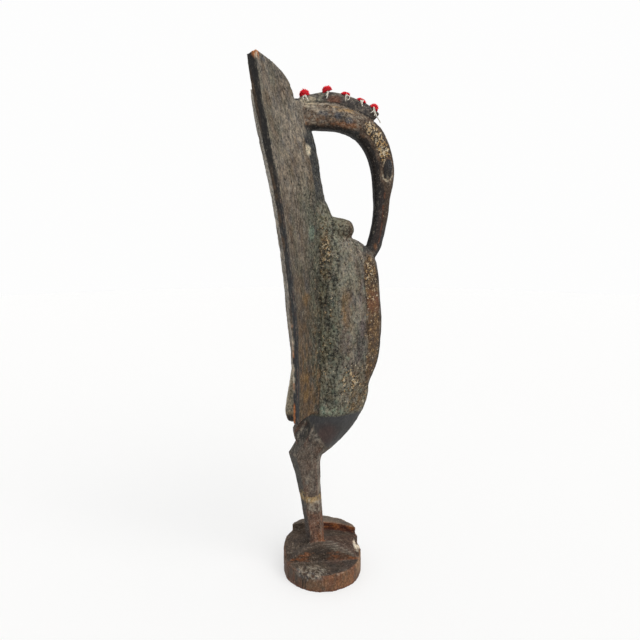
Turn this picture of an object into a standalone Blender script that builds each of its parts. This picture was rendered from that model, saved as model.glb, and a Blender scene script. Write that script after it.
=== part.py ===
# A standing bird carved from one block of wood together with its round base.
# Five red wool tufts are tied along its crest with cotton string.
# Metres, +Z up. The origin is the centre of the base's underside. The bird faces +X and its left is +Y.

import math

import bpy
import bmesh
from mathutils import Vector

for old in list(bpy.data.objects):
    bpy.data.objects.remove(old, do_unlink=True)

GAP = 0.0003                      # left between pieces that touch

# Body: height, back edge, front edge, widest place, half width there, half width of front and back edge
BODY_ROWS = [
    (0.366, -0.060, -0.010, -0.030, 0.034, 0.012, 0.022),
    (0.406, -0.050, 0.042, -0.010, 0.044, 0.010, 0.032),
    (0.442, -0.044, 0.076, 0.006, 0.051, 0.009, 0.036),
    (0.478, -0.044, 0.103, 0.022, 0.056, 0.010, 0.036),
    (0.514, -0.046, 0.121, 0.034, 0.059, 0.011, 0.034),
    (0.550, -0.046, 0.132, 0.040, 0.060, 0.012, 0.032),
    (0.584, -0.042, 0.133, 0.043, 0.062, 0.013, 0.031),
    (0.640, -0.038, 0.150, 0.046, 0.063, 0.015, 0.030),
    (0.700, -0.036, 0.162, 0.048, 0.064, 0.016, 0.029),
    (0.770, -0.036, 0.165, 0.045, 0.064, 0.016, 0.028),
    (0.850, -0.038, 0.160, 0.038, 0.063, 0.016, 0.027),
    (0.910, -0.040, 0.153, 0.030, 0.060, 0.017, 0.026),
    (0.948, -0.041, 0.146, 0.024, 0.057, 0.018, 0.026),
    (0.974, -0.042, 0.130, 0.019, 0.054, 0.018, 0.026),
    (0.992, -0.043, 0.107, 0.014, 0.052, 0.018, 0.026),
    (1.012, -0.044, 0.066, 0.006, 0.049, 0.018, 0.026),
    (1.040, -0.046, 0.034, -0.004, 0.046, 0.017, 0.026),
    (1.076, -0.050, 0.017, -0.014, 0.044, 0.015, 0.025),
    (1.120, -0.055, -0.003, -0.027, 0.042, 0.011, 0.024),
    (1.185, -0.064, -0.017, -0.040, 0.040, 0.010, 0.022),
    (1.250, -0.074, -0.028, -0.053, 0.038, 0.010, 0.020),
    (1.310, -0.083, -0.036, -0.062, 0.036, 0.010, 0.018),
    (1.372, -0.091, -0.050, -0.072, 0.030, 0.011, 0.016),
]
BODY_LEVELS = 38
BODY_SIDE_POINTS = 5              # on each half of each flank
BODY_FRONT_CURVE = 1.45           # roundness of the flank in front of its widest place
BODY_BACK_CURVE = 1.9
BODY_NOSE = 0.20                  # the front's bulge as a share of its half width

# Raised band along the breast: height, inner edge, outer edge
BAND_ROWS = [
    (0.584, 0.128, 0.1335),
    (0.604, 0.122, 0.143),
    (0.640, 0.121, 0.158),
    (0.676, 0.124, 0.166),
    (0.711, 0.127, 0.169),
    (0.764, 0.127, 0.171),
    (0.834, 0.123, 0.167),
    (0.869, 0.117, 0.163),
    (0.903, 0.113, 0.160),
    (0.937, 0.114, 0.153),
    (0.956, 0.122, 0.146),
]
BAND_LEVELS = 18
BAND_RELIEF = 0.0038              # how far it stands out from the flank
BAND_EDGE = 0.013                 # half width of its front edge
BAND_NOSE = 0.0045                # half width of the flat in the middle of that edge
BAND_BEVEL = 0.004

# Wing boards: height, edge back from the origin, edge out from the middle, root line, thickness
WING_ROWS = [
    (0.515, -0.080, 0.152, -0.014, 0.0145),
    (0.600, -0.081, 0.165, -0.011, 0.0145),
    (0.700, -0.0825, 0.182, -0.013, 0.0145),
    (0.800, -0.086, 0.190, -0.015, 0.0150),
    (0.900, -0.095, 0.191, -0.017, 0.0150),
    (1.000, -0.107, 0.191, -0.017, 0.0155),
    (1.100, -0.122, 0.191, -0.019, 0.0170),
    (1.147, -0.128, 0.191, -0.022, 0.0190),
    (1.200, -0.138, 0.191, -0.031, 0.0220),
    (1.260, -0.147, 0.191, -0.047, 0.0255),
    (1.330, -0.161, 0.191, -0.063, 0.0260),
    (1.400, -0.171, 0.191, -0.078, 0.0260),
    (1.452, -0.176, 0.191, -0.089, 0.0260),
]
WING_ROOT_OUT = 0.045             # the root line's distance from the middle
WING_FOOT_Z = 0.515
WING_TOP_Z = 1.4465
WING_ROOT_TOP_Z = 1.365
WING_CORNER = 3.0                 # roundness of the upper inner corner
WING_CORNER_END = 0.945           # where that corner ends, as a share of the edge to root distance
WING_STEPS = (0.0, 0.20, 0.40, 0.57, 0.70, 0.80, 0.87, 0.92, 0.945, 1.07, 1.22)
WING_LEVELS = 22
WING_COVE = 0.009                 # how far the board bows back between its edge and its root
WING_BACK_DROP = 0.009            # the top edge falls towards the back
WING_DROP_FROM = 0.90             # the share of the height from which it does
LEFT_WING_FORWARD = 0.011         # the left wing's foot was carved this far forward of the right one's
LEFT_WING_FORWARD_Z = (0.62, 0.78)

# Neck, head and beak: underside point, upper point, half width
NECK_ROWS = [
    (-0.070, 1.294, -0.070, 1.362, 0.026),
    (-0.029, 1.294, -0.027, 1.367, 0.029),
    (0.007, 1.294, 0.007, 1.367, 0.031),
    (0.040, 1.2915, 0.052, 1.361, 0.032),
    (0.068, 1.284, 0.096, 1.346, 0.033),
    (0.092, 1.270, 0.138, 1.325, 0.033),
    (0.112, 1.248, 0.168, 1.295, 0.033),
    (0.126, 1.221, 0.189, 1.249, 0.032),
    (0.135, 1.190, 0.2005, 1.200, 0.030),
    (0.140, 1.155, 0.199, 1.158, 0.027),
    (0.1425, 1.115, 0.190, 1.117, 0.023),
    (0.143, 1.078, 0.187, 1.078, 0.0205),
    (0.1395, 1.045, 0.181, 1.043, 0.0185),
    (0.132, 1.010, 0.173, 1.003, 0.0165),
    (0.122, 0.975, 0.163, 0.972, 0.014),
    (0.128, 0.948, 0.148, 0.946, 0.009),
]
NECK_RINGS = 38
NECK_SIDES = 16
HEAD_SQUARE_INNER = 3.2           # the inner side is flatter than the outer side
HEAD_SQUARE_OUTER = 2.1

# Crest along the neck: distance forward, lower edge, upper edge
CREST_ROWS = [
    (-0.080, 1.340, 1.366),
    (-0.062, 1.345, 1.381),
    (-0.028, 1.352, 1.390),
    (0.007, 1.354, 1.396),
    (0.036, 1.352, 1.395),
    (0.064, 1.345, 1.390),
    (0.092, 1.334, 1.381),
    (0.120, 1.322, 1.368),
    (0.140, 1.316, 1.357),
    (0.149, 1.334, 1.350),
    (0.157, 1.341, 1.344),
]
CREST_RINGS = 22
CREST_FOOT = 0.0125               # half width at its foot
CREST_TOP = 0.0065                # half width at its top
CREST_FULL = 0.030                # below this height it gets thinner
CREST_CAMBER = 0.25               # the top's rise as a share of its half width

# Knob on the breast: distance forward, middle height, radius up, radius sideways
KNOB_ROWS = [
    (-0.010, 1.028, 0.034, 0.036),
    (0.026, 1.030, 0.035, 0.041),
    (0.044, 1.030, 0.0315, 0.041),
    (0.062, 1.029, 0.0295, 0.038),
    (0.076, 1.029, 0.0245, 0.032),
    (0.085, 1.028, 0.0165, 0.022),
    (0.0890, 1.027, 0.0060, 0.009),
]
KNOB_PLACES = (-0.010, 0.008, 0.026, 0.044, 0.058, 0.069, 0.077, 0.083, 0.087, 0.089)
KNOB_SIDES = 16

EYE_PLACE = (0.1815, 1.194)
EYE_RADII = (0.0105, 0.0045, 0.027)
EYE_OUT = 0.0262                  # the eye's middle from the middle of the head
MOUTH_LINE = [(0.1710, 1.128), (0.1675, 1.090), (0.1655, 1.050), (0.1620, 1.015), (0.1550, 0.982)]
MOUTH_WIDTH = 0.0034
MOUTH_REACH = 0.050               # the groove's cutter goes out past the beak's side
MOUTH_FLOOR = 0.0125              # what is left between the two grooves, at each side of the middle

# Tail plate and rump, as outlines seen from the side
TAIL_OUTLINE = [
    (-0.020, 0.900),
    (-0.052, 0.780),
    (-0.075, 0.690),
    (-0.0905, 0.616),
    (-0.1035, 0.539),
    (-0.1085, 0.511),
    (-0.1070, 0.496),
    (-0.1010, 0.4835),
    (-0.0910, 0.478),
    (-0.020, 0.474),
]
TAIL_HALF = 0.021
RUMP_OUTLINE = [
    (-0.015, 0.520),
    (-0.066, 0.490),
    (-0.079, 0.462),
    (-0.0860, 0.446),
    (-0.0850, 0.437),
    (-0.0760, 0.412),
    (-0.020, 0.390),
]
RUMP_HALF = 0.026

# Leg: height, back arris, front edge, half width
LEG_ROWS = [
    (0.066, -0.045, 0.006, 0.029),
    (0.096, -0.047, 0.0055, 0.028),
    (0.150, -0.052, 0.003, 0.028),
    (0.200, -0.0605, -0.001, 0.029),
    (0.240, -0.0665, -0.004, 0.030),
    (0.280, -0.0735, -0.0065, 0.032),
    (0.318, -0.0815, -0.007, 0.035),
    (0.352, -0.0920, -0.0065, 0.0370),
    (0.368, -0.0970, -0.004, 0.0390),
    (0.380, -0.1000, 0.000, 0.0405),
    (0.394, -0.0905, 0.006, 0.0420),
    (0.416, -0.0780, 0.012, 0.0445),
    (0.446, -0.0625, 0.020, 0.0480),
    (0.476, -0.0480, 0.026, 0.0490),
    (0.505, -0.0360, 0.026, 0.0440),
    (0.530, -0.0250, 0.018, 0.0300),
]
LEG_BACK_FACET = 0.24             # the back chamfer's share of the depth
LEG_FRONT_FACET = 0.17
LEG_FRONT_FLAT = 0.40             # the front face's share of the width
LEG_BACK_FLAT = 0.10              # the back arris is nearly sharp

# Base
BASE_RADIUS = 0.117
BASE_SIDES = 64
RIM_Z = 0.1165                    # crown of the high rim on the left
RIM_CROWN = 0.55                  # its fall per metre squared towards the ends
RIM_INNER = [
    (-0.135, 0.0760),
    (-0.091, 0.0765),
    (-0.045, 0.0765),
    (0.000, 0.0740),
    (0.045, 0.0650),
    (0.085, 0.0510),
    (0.135, 0.0270),
]
FLOOR_ROWS = [(-0.019, 0.0700), (0.002, 0.0780), (0.022, 0.0850), (0.040, 0.0900)]
FLOOR_COLUMNS, FLOOR_LINES = 14, 7
LOW_FLOOR_Z = 0.052
RIDGE_NEAR_Y = -0.0455
RIDGE_FAR_Y = -0.0190
RIDGE_TOP_Z = 0.1075
RIDGE_FALL = 4.5                  # per metre squared away from the leg
ARCH_POINTS = 21
RIM_CHIP = [
    (0.1010, 0.0250),
    (0.1040, -0.0060),
    (0.1150, -0.0160),
    (0.1350, -0.0160),
    (0.1350, 0.0300),
    (0.1120, 0.0300),
]
RIM_CHIP_FLOOR = 0.0640
RIM_END_X = -0.0880               # the high rim is cut off square here
RIM_END_Y = 0.0300
TOP_CLEAR = 0.150                 # above everything on the base
OVERLAP = 0.0004                  # how far cutters reach past each other

# Tufts: distance forward, width, height, all taken on the crest's top
TUFT_ROWS = [
    (-0.0470, 0.0255, 0.0132),
    (0.0125, 0.0250, 0.0138),
    (0.0640, 0.0220, 0.0066),
    (0.1055, 0.0235, 0.0070),
    (0.1385, 0.0225, 0.0112),
]
TUFT_SIDES = 12
TUFT_NARROW = 0.86                # its width across the crest, as a share of its width along it
TUFT_FOOT = 0.0032                # from the crest's top to its flat underside
TUFT_PROFILE = [(0.0, 0.80), (0.20, 1.00), (0.60, 0.88), (0.88, 0.52), (1.0, 0.18)]
STRING_RADIUS = 0.0011
STRING_SIDES = 5
HOLE_RADIUS = 0.0022
HOLE_DEPTH = 0.0105               # below the crest's top
KNOT_RADII = (0.0030, 0.0024, 0.0030)
THREAD_RADIUS = 0.0009
TAIL_LENGTHS = (0.011, 0.015)
LOOSE_END = [
    (0.001, -0.0002, -0.0005),
    (0.008, -0.0020, -0.0060),
    (0.015, -0.0030, -0.0150),
    (0.023, -0.0020, -0.0230),
]


def between(rows, place):
    """Values of all columns at a place along the first column, on a smooth curve through the rows."""
    last = len(rows) - 1
    place = min(max(place, rows[0][0]), rows[last][0])
    k = 0
    while k < last - 1 and rows[k + 1][0] < place:
        k += 1
    a, b = rows[k], rows[k + 1]
    span = b[0] - a[0]
    t = (place - a[0]) / span

    def slope(i, column):
        low, high = max(i - 1, 0), min(i + 1, last)
        return (rows[high][column] - rows[low][column]) / (rows[high][0] - rows[low][0])

    values = [place]
    for column in range(1, len(a)):
        h00 = 2 * t**3 - 3 * t**2 + 1
        h10 = t**3 - 2 * t**2 + t
        h01 = -2 * t**3 + 3 * t**2
        h11 = t**3 - t**2
        values.append(h00 * a[column] + h10 * span * slope(k, column)
                      + h01 * b[column] + h11 * span * slope(k + 1, column))
    return values


def along(rows, share):
    """Values of all columns at a share of the way through the rows, on a smooth curve."""
    numbered = [(i,) + tuple(row) for i, row in enumerate(rows)]
    return between(numbered, share * (len(rows) - 1))[1:]


def new_object(name, vertices, faces):
    mesh = bpy.data.meshes.new(name)
    mesh.from_pydata([tuple(v) for v in vertices], [], faces)
    mesh.update()
    work = bmesh.new()
    work.from_mesh(mesh)
    bmesh.ops.remove_doubles(work, verts=work.verts, dist=1e-6)
    bmesh.ops.recalc_face_normals(work, faces=work.faces)
    work.to_mesh(mesh)
    work.free()
    thing = bpy.data.objects.new(name, mesh)
    bpy.context.scene.collection.objects.link(thing)
    return thing


def loft(name, rings):
    """A closed body through rings of points, with flat ends."""
    count = len(rings[0])
    vertices = [point for ring in rings for point in ring]
    faces = []
    for r in range(len(rings) - 1):
        for i in range(count):
            j = (i + 1) % count
            faces.append((r * count + i, r * count + j, (r + 1) * count + j, (r + 1) * count + i))
    faces.append(tuple(range(count))[::-1])
    start = (len(rings) - 1) * count
    faces.append(tuple(range(start, start + count)))
    return new_object(name, vertices, faces)


def plate(name, outline, low, high):
    """An outline in the XZ plane, made thick from Y low to Y high."""
    return loft(name, [[(x, low, z) for x, z in outline], [(x, high, z) for x, z in outline]])


def tube(name, path, radius, sides):
    """A round rod along a path, with flat ends."""
    points = [Vector(p) for p in path]
    rings = []
    side = Vector((1.0, 0.0, 0.0))
    for i, point in enumerate(points):
        ahead = points[min(i + 1, len(points) - 1)] - points[max(i - 1, 0)]
        ahead.normalize()
        side = (side - ahead * side.dot(ahead)).normalized()
        other = ahead.cross(side)
        ring = []
        for k in range(sides):
            turn = 2 * math.pi * k / sides
            ring.append(point + side * radius * math.cos(turn) + other * radius * math.sin(turn))
        rings.append(ring)
    return loft(name, rings)


def ellipsoid(name, centre, radii, segments, rings):
    work = bmesh.new()
    bmesh.ops.create_uvsphere(work, u_segments=segments, v_segments=rings, radius=1.0)
    for vertex in work.verts:
        vertex.co = Vector((centre[i] + radii[i] * vertex.co[i] for i in range(3)))
    mesh = bpy.data.meshes.new(name)
    work.to_mesh(mesh)
    work.free()
    thing = bpy.data.objects.new(name, mesh)
    bpy.context.scene.collection.objects.link(thing)
    return thing


def helper(thing):
    thing.hide_render = True
    thing.display_type = "WIRE"
    return thing


def combine(target, tool, operation):
    """Adds a helper to a body or cuts it away."""
    step = target.modifiers.new(operation.lower() + " " + tool.name, "BOOLEAN")
    step.operation = operation
    step.solver = "EXACT"
    step.object = helper(tool)


def add_material(thing, name, colour, roughness):
    material = bpy.data.materials.new(name)
    material.use_nodes = True
    shader = material.node_tree.nodes["Principled BSDF"]
    shader.inputs["Base Color"].default_value = (*colour, 1.0)
    shader.inputs["Roughness"].default_value = roughness
    shader.inputs["Metallic"].default_value = 0.0
    thing.data.materials.append(material)


def flank_half_width(row, x):
    """Half width of the body at a distance forward, for one row of BODY_ROWS."""
    back, front, widest, half, front_half, back_half = row[1:]
    if x >= widest:
        share = min((x - widest) / (front - widest), 1.0)
        return front_half + (half - front_half) * (1.0 - share**BODY_FRONT_CURVE)
    share = min((widest - x) / (widest - back), 1.0)
    return back_half + (half - back_half) * (1.0 - share**BODY_BACK_CURVE)


def make_body():
    low, high = BODY_ROWS[0][0], BODY_ROWS[-1][0]
    rings = []
    for level in range(BODY_LEVELS):
        row = between(BODY_ROWS, low + (high - low) * level / (BODY_LEVELS - 1))
        z, back, front, widest = row[:4]
        places = [front - (front - widest) * i / BODY_SIDE_POINTS for i in range(BODY_SIDE_POINTS)]
        places += [widest - (widest - back) * i / BODY_SIDE_POINTS for i in range(BODY_SIDE_POINTS + 1)]
        left = [(x, flank_half_width(row, x), z) for x in places]
        nose = BODY_NOSE * row[5]
        right = [(x, -y, z) for x, y, z in reversed(left)]
        rings.append([(front + nose, 0.0, z)] + left + right)
    return loft("carved_figure", rings)


def make_band():
    low, high = BAND_ROWS[0][0], BAND_ROWS[-1][0]
    rings = []
    for level in range(BAND_LEVELS):
        z, inner, outer = between(BAND_ROWS, low + (high - low) * level / (BAND_LEVELS - 1))
        body_row = between(BODY_ROWS, z)
        middle = 0.5 * (inner + outer)
        left = [(outer, BAND_NOSE, z), (outer - BAND_BEVEL, BAND_EDGE, z)]
        for x in (middle, inner + 0.002, inner - 0.001):
            left.append((x, flank_half_width(body_row, x) + BAND_RELIEF, z))
        left.append((inner - BAND_BEVEL, BAND_EDGE, z))
        rings.append(left + [(x, -y, z) for x, y, z in reversed(left)])
    return loft("band", rings)


def wing_top(share):
    """Height of the wing's top at a share of the way from its edge to its root."""
    turn = min(share / WING_CORNER_END, 1.0)
    rise = (1.0 - turn**WING_CORNER)**(1.0 / WING_CORNER)
    return WING_ROOT_TOP_Z + (WING_TOP_Z - WING_ROOT_TOP_Z) * rise


def left_shift(z):
    low, high = LEFT_WING_FORWARD_Z
    t = min(max((high - z) / (high - low), 0.0), 1.0)
    return LEFT_WING_FORWARD * t * t * (3.0 - 2.0 * t)


def make_wing(name, side):
    """One swept wing board, side +1 for the bird's left and -1 for its right."""
    outer, inner = [], []
    for share in WING_STEPS:
        top = wing_top(share)
        for level in range(WING_LEVELS):
            t = level / (WING_LEVELS - 1)
            z = WING_FOOT_Z + (top - WING_FOOT_Z) * t
            _, edge_x, edge_y, root_x, thick = between(WING_ROWS, z)
            if side > 0:
                edge_x += left_shift(z)
            along_x, along_y = root_x - edge_x, WING_ROOT_OUT - edge_y
            length = math.hypot(along_x, along_y)
            bow = 4.0 * WING_COVE * share * max(1.0 - share, 0.0)
            x, y = edge_x + along_x * share - bow, edge_y + along_y * share
            outer.append((x, side * y, z))
            back_z = z - WING_BACK_DROP * max(t - WING_DROP_FROM, 0.0) / (1.0 - WING_DROP_FROM)
            inner.append((x + thick * along_y / length, side * (y - thick * along_x / length), back_z))
    count = len(outer)
    columns, rows = len(WING_STEPS), WING_LEVELS
    faces = []
    for c in range(columns - 1):
        for r in range(rows - 1):
            a, b = c * rows + r, (c + 1) * rows + r
            faces.append((a, b, b + 1, a + 1))
            faces.append((count + a, count + a + 1, count + b + 1, count + b))
        for r, turned in ((0, False), (rows - 1, True)):
            a, b = c * rows + r, (c + 1) * rows + r
            strip = (a, count + a, count + b, b)
            faces.append(strip[::-1] if turned else strip)
    for c, turned in ((0, True), (columns - 1, False)):
        for r in range(rows - 1):
            a = c * rows + r
            strip = (a, count + a, count + a + 1, a + 1)
            faces.append(strip if turned else strip[::-1])
    return new_object(name, outer + inner, faces)


def neck_section(row, turn):
    """A point of the neck's section: turn 0 is its outer edge and pi its inner edge."""
    inner_x, inner_z, outer_x, outer_z, half = row
    square = HEAD_SQUARE_OUTER if math.cos(turn) > 0 else HEAD_SQUARE_INNER
    depth = math.copysign(abs(math.cos(turn))**(2.0 / square), math.cos(turn))
    width = math.copysign(abs(math.sin(turn))**(2.0 / square), math.sin(turn))
    share = 0.5 + 0.5 * depth
    return (inner_x + (outer_x - inner_x) * share, half * width, inner_z + (outer_z - inner_z) * share)


def make_neck():
    rings = []
    for step in range(NECK_RINGS):
        row = along(NECK_ROWS, step / (NECK_RINGS - 1))
        rings.append([neck_section(row, 2 * math.pi * k / NECK_SIDES) for k in range(NECK_SIDES)])
    return loft("neck", rings)


def make_crest():
    low, high = CREST_ROWS[0][0], CREST_ROWS[-1][0]
    rings = []
    for step in range(CREST_RINGS):
        x, foot, top = between(CREST_ROWS, low + (high - low) * step / (CREST_RINGS - 1))
        thin = min(1.0, (top - foot) / CREST_FULL)
        wide, narrow = CREST_FOOT * thin, CREST_TOP * thin
        shoulder = top - CREST_CAMBER * narrow
        section = [(-wide, foot), (-narrow, shoulder), (0.0, top), (narrow, shoulder), (wide, foot)]
        rings.append([(x, y, z) for y, z in section])
    return loft("crest", rings)


def make_knob():
    rings = []
    for place in KNOB_PLACES:
        x, middle, up, out = between(KNOB_ROWS, place)
        ring = []
        for k in range(KNOB_SIDES):
            turn = 2 * math.pi * k / KNOB_SIDES
            ring.append((x, out * math.cos(turn), middle + up * math.sin(turn)))
        rings.append(ring)
    return loft("knob", rings)


def make_mouth(name, side):
    edge = []
    for offset in (0.5 * MOUTH_WIDTH, -0.5 * MOUTH_WIDTH):
        line = [(x + offset, z) for x, z in MOUTH_LINE]
        edge += line if offset > 0 else line[::-1]
    low, high = sorted((side * MOUTH_FLOOR, side * MOUTH_REACH))
    return plate(name, edge, low, high)


def make_leg():
    rings = []
    for row in LEG_ROWS:
        z, back, front, half = row
        depth = front - back
        back_side = back + LEG_BACK_FACET * depth
        front_side = front - LEG_FRONT_FACET * depth
        flat, arris = LEG_FRONT_FLAT * half, LEG_BACK_FLAT * half
        right = [(back, -arris, z), (back_side, -half, z), (front_side, -half, z), (front, -flat, z)]
        rings.append(right + [(x, -y, z) for x, y, z in reversed(right)])
    return loft("leg", rings)


def make_floor_cutter():
    """Clears the floor between the foot ridge and the high rim."""
    columns, rows = [], FLOOR_LINES
    for i in range(FLOOR_COLUMNS):
        x = RIM_INNER[0][0] + (RIM_INNER[-1][0] - RIM_INNER[0][0]) * i / (FLOOR_COLUMNS - 1)
        rim = between(RIM_INNER, x)[1]
        low = FLOOR_ROWS[0][0]
        columns.append([(x, low + (rim - low) * r / (rows - 1)) for r in range(rows)])
    vertices = [(x, y, between(FLOOR_ROWS, y)[1]) for column in columns for x, y in column]
    count = len(vertices)
    vertices += [(x, y, TOP_CLEAR) for x, y, _ in vertices]
    faces = []
    for c in range(len(columns) - 1):
        for r in range(rows - 1):
            a, b = c * rows + r, (c + 1) * rows + r
            faces.append((a, a + 1, b + 1, b))
            faces.append((count + a, count + b, count + b + 1, count + a + 1))
        for r, turned in ((0, False), (rows - 1, True)):
            a, b = c * rows + r, (c + 1) * rows + r
            strip = (a, b, count + b, count + a)
            faces.append(strip[::-1] if turned else strip)
    for c, turned in ((0, True), (len(columns) - 1, False)):
        for r in range(rows - 1):
            a = c * rows + r
            strip = (a, a + 1, count + a + 1, count + a)
            faces.append(strip[::-1] if turned else strip)
    return new_object("floor_cutter", vertices, faces)


def arched_cutter(name, crown, fall, low, high):
    """Clears what is above an arched line that falls away on both sides."""
    reach = 1.15 * BASE_RADIUS
    line = []
    for i in range(ARCH_POINTS):
        x = -reach + 2 * reach * i / (ARCH_POINTS - 1)
        line.append((x, crown - fall * x * x))
    outline = line + [(reach, TOP_CLEAR), (-reach, TOP_CLEAR)]
    return plate(name, outline, low, high)


def box(name, low, high):
    outline = [(low[0], low[2]), (high[0], low[2]), (high[0], high[2]), (low[0], high[2])]
    return plate(name, outline, low[1], high[1])


def make_base():
    ring = []
    for k in range(BASE_SIDES):
        turn = 2 * math.pi * k / BASE_SIDES
        ring.append((BASE_RADIUS * math.cos(turn), BASE_RADIUS * math.sin(turn)))
    base = loft("base", [[(x, y, 0.0) for x, y in ring], [(x, y, RIM_Z) for x, y in ring]])
    reach = 1.2 * BASE_RADIUS
    cutters = [
        box("low_floor_cutter", (-reach, -reach, LOW_FLOOR_Z), (reach, RIDGE_NEAR_Y, TOP_CLEAR)),
        arched_cutter("ridge_cutter", RIDGE_TOP_Z, RIDGE_FALL, RIDGE_NEAR_Y - OVERLAP, RIDGE_FAR_Y + OVERLAP),
        make_floor_cutter(),
        arched_cutter("rim_cutter", RIM_Z - OVERLAP, RIM_CROWN, 0.0, reach),
        box("rim_end_cutter", (-reach, RIM_END_Y, FLOOR_ROWS[-1][1]), (RIM_END_X, reach, TOP_CLEAR)),
    ]
    chip = [[(x, y, RIM_CHIP_FLOOR) for x, y in RIM_CHIP], [(x, y, TOP_CLEAR) for x, y in RIM_CHIP]]
    cutters.append(loft("rim_chip", chip))
    for cutter in cutters:
        combine(base, cutter, "DIFFERENCE")
    return base


def crest_top(x):
    return between(CREST_ROWS, x)[2]


def make_figure():
    figure = make_body()
    parts = [
        make_base(),
        make_leg(),
        plate("rump", RUMP_OUTLINE, -RUMP_HALF, RUMP_HALF),
        plate("tail", TAIL_OUTLINE, -TAIL_HALF, TAIL_HALF),
        make_wing("right_wing", -1),
        make_wing("left_wing", 1),
        make_band(),
        make_knob(),
        make_neck(),
        make_crest(),
    ]
    for side, label in ((-1, "right"), (1, "left")):
        centre = (EYE_PLACE[0], side * EYE_OUT, EYE_PLACE[1])
        parts.append(ellipsoid(label + "_eye", centre, EYE_RADII, 12, 8))
    for part in parts:
        combine(figure, part, "UNION")
    cutters = [make_mouth("right_mouth", -1), make_mouth("left_mouth", 1)]
    for number, (x, _, _) in enumerate(TUFT_ROWS, 1):
        z = crest_top(x) - HOLE_DEPTH
        cutters.append(tube("string_hole_%d" % number, [(x, -0.03, z), (x, 0.03, z)], HOLE_RADIUS, 8))
    for cutter in cutters:
        combine(figure, cutter, "DIFFERENCE")
    add_material(figure, "painted carved wood", (0.115, 0.095, 0.072), 0.72)
    return figure


def make_tuft(number, x, width, height):
    """A low dome of wool that sits on the string across the crest's top, square to the crest."""
    reach = 0.3 * width
    tilt = math.atan2(crest_top(x + reach) - crest_top(x - reach), 2 * reach)
    rings = []
    for share, wide in TUFT_PROFILE:
        ring = []
        up = TUFT_FOOT + height * share
        for k in range(TUFT_SIDES):
            turn = 2 * math.pi * k / TUFT_SIDES
            out = 0.5 * width * wide
            forward, aside = out * math.cos(turn), TUFT_NARROW * out * math.sin(turn)
            rise = forward * math.sin(tilt) + up * math.cos(tilt)
            ring.append((x + forward * math.cos(tilt) - up * math.sin(tilt), aside, crest_top(x) + rise))
        rings.append(ring)
    tuft = loft("wool_tuft_%d" % number, rings)
    tuft.data.shade_smooth()
    add_material(tuft, "red wool %d" % number, (0.72, 0.03, 0.05), 0.95)
    return tuft


def make_tie(number, x):
    """A string through the crest's hole, round both sides and over the top, with a knot on the right."""
    top, hole = crest_top(x), crest_top(x) - HOLE_DEPTH
    out_low = CREST_FOOT + GAP + STRING_RADIUS
    out_high = CREST_TOP + GAP + STRING_RADIUS + 0.0006
    over = top + GAP + STRING_RADIUS
    half = [
        (0.0, hole),
        (0.55 * out_low, hole),
        (0.93 * out_low, hole + 0.0012),
        (out_low, hole + 0.0034),
        (0.5 * (out_low + out_high), 0.55 * hole + 0.45 * top),
        (out_high, top - 0.0012),
        (0.72 * out_high, over),
        (0.0, over + 0.0001),
    ]
    path = [(x, -y, z) for y, z in half]
    path += [(x, y, z) for y, z in reversed(half[1:-1])]
    tie = closed_tube("string_tie_%d" % number, path, STRING_RADIUS, STRING_SIDES)
    knot_place = (x, -out_low - 0.0012, hole + 0.0034)
    knot = ellipsoid("knot_%d" % number, knot_place, KNOT_RADII, 7, 5)
    combine(tie, knot, "UNION")
    for k, length in enumerate(TAIL_LENGTHS):
        lean = 0.5 if k else -0.6
        start = Vector((knot_place[0], knot_place[1] - 0.0004 - 0.0002 * k, knot_place[2]))
        middle = start + Vector((0.35 * lean * length, -0.0012, -0.35 * length))
        end = start + Vector((0.55 * lean * length, -0.0010, -length))
        thread = tube("thread_%d_%d" % (number, k), [start, middle, end], THREAD_RADIUS, STRING_SIDES)
        combine(tie, thread, "UNION")
    if number == len(TUFT_ROWS):
        start = Vector(knot_place) + Vector(LOOSE_END[0])
        path = [start] + [start + Vector(step) for step in LOOSE_END[1:]]
        combine(tie, tube("loose_end", path, STRING_RADIUS, STRING_SIDES), "UNION")
    add_material(tie, "cotton string %d" % number, (0.78, 0.74, 0.64), 0.90)
    return tie


def closed_tube(name, path, radius, sides):
    """A round rod along a closed path that lies in one plane of constant X."""
    points = [Vector(p) for p in path]
    count = len(points)
    across = Vector((1.0, 0.0, 0.0))
    vertices, faces = [], []
    for i, point in enumerate(points):
        ahead = (points[(i + 1) % count] - points[i - 1]).normalized()
        other = ahead.cross(across)
        for k in range(sides):
            turn = 2 * math.pi * k / sides
            vertices.append(point + across * radius * math.cos(turn) + other * radius * math.sin(turn))
    for i in range(count):
        a, b = i * sides, ((i + 1) % count) * sides
        for k in range(sides):
            j = (k + 1) % sides
            faces.append((a + k, a + j, b + j, b + k))
    return new_object(name, vertices, faces)


make_figure()
for number, (x, width, height) in enumerate(TUFT_ROWS, 1):
    make_tuft(number, x, width, height)
    make_tie(number, x)
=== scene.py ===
# Studio picture of a carved wooden bird: the old painted wood, the wool tufts and their strings.
# Metres, +Z up. The bird faces +X, and its right side, -Y, is towards the camera.

import math
import time

import bmesh
import bpy
import numpy as np
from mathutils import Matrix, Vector, kdtree


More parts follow.
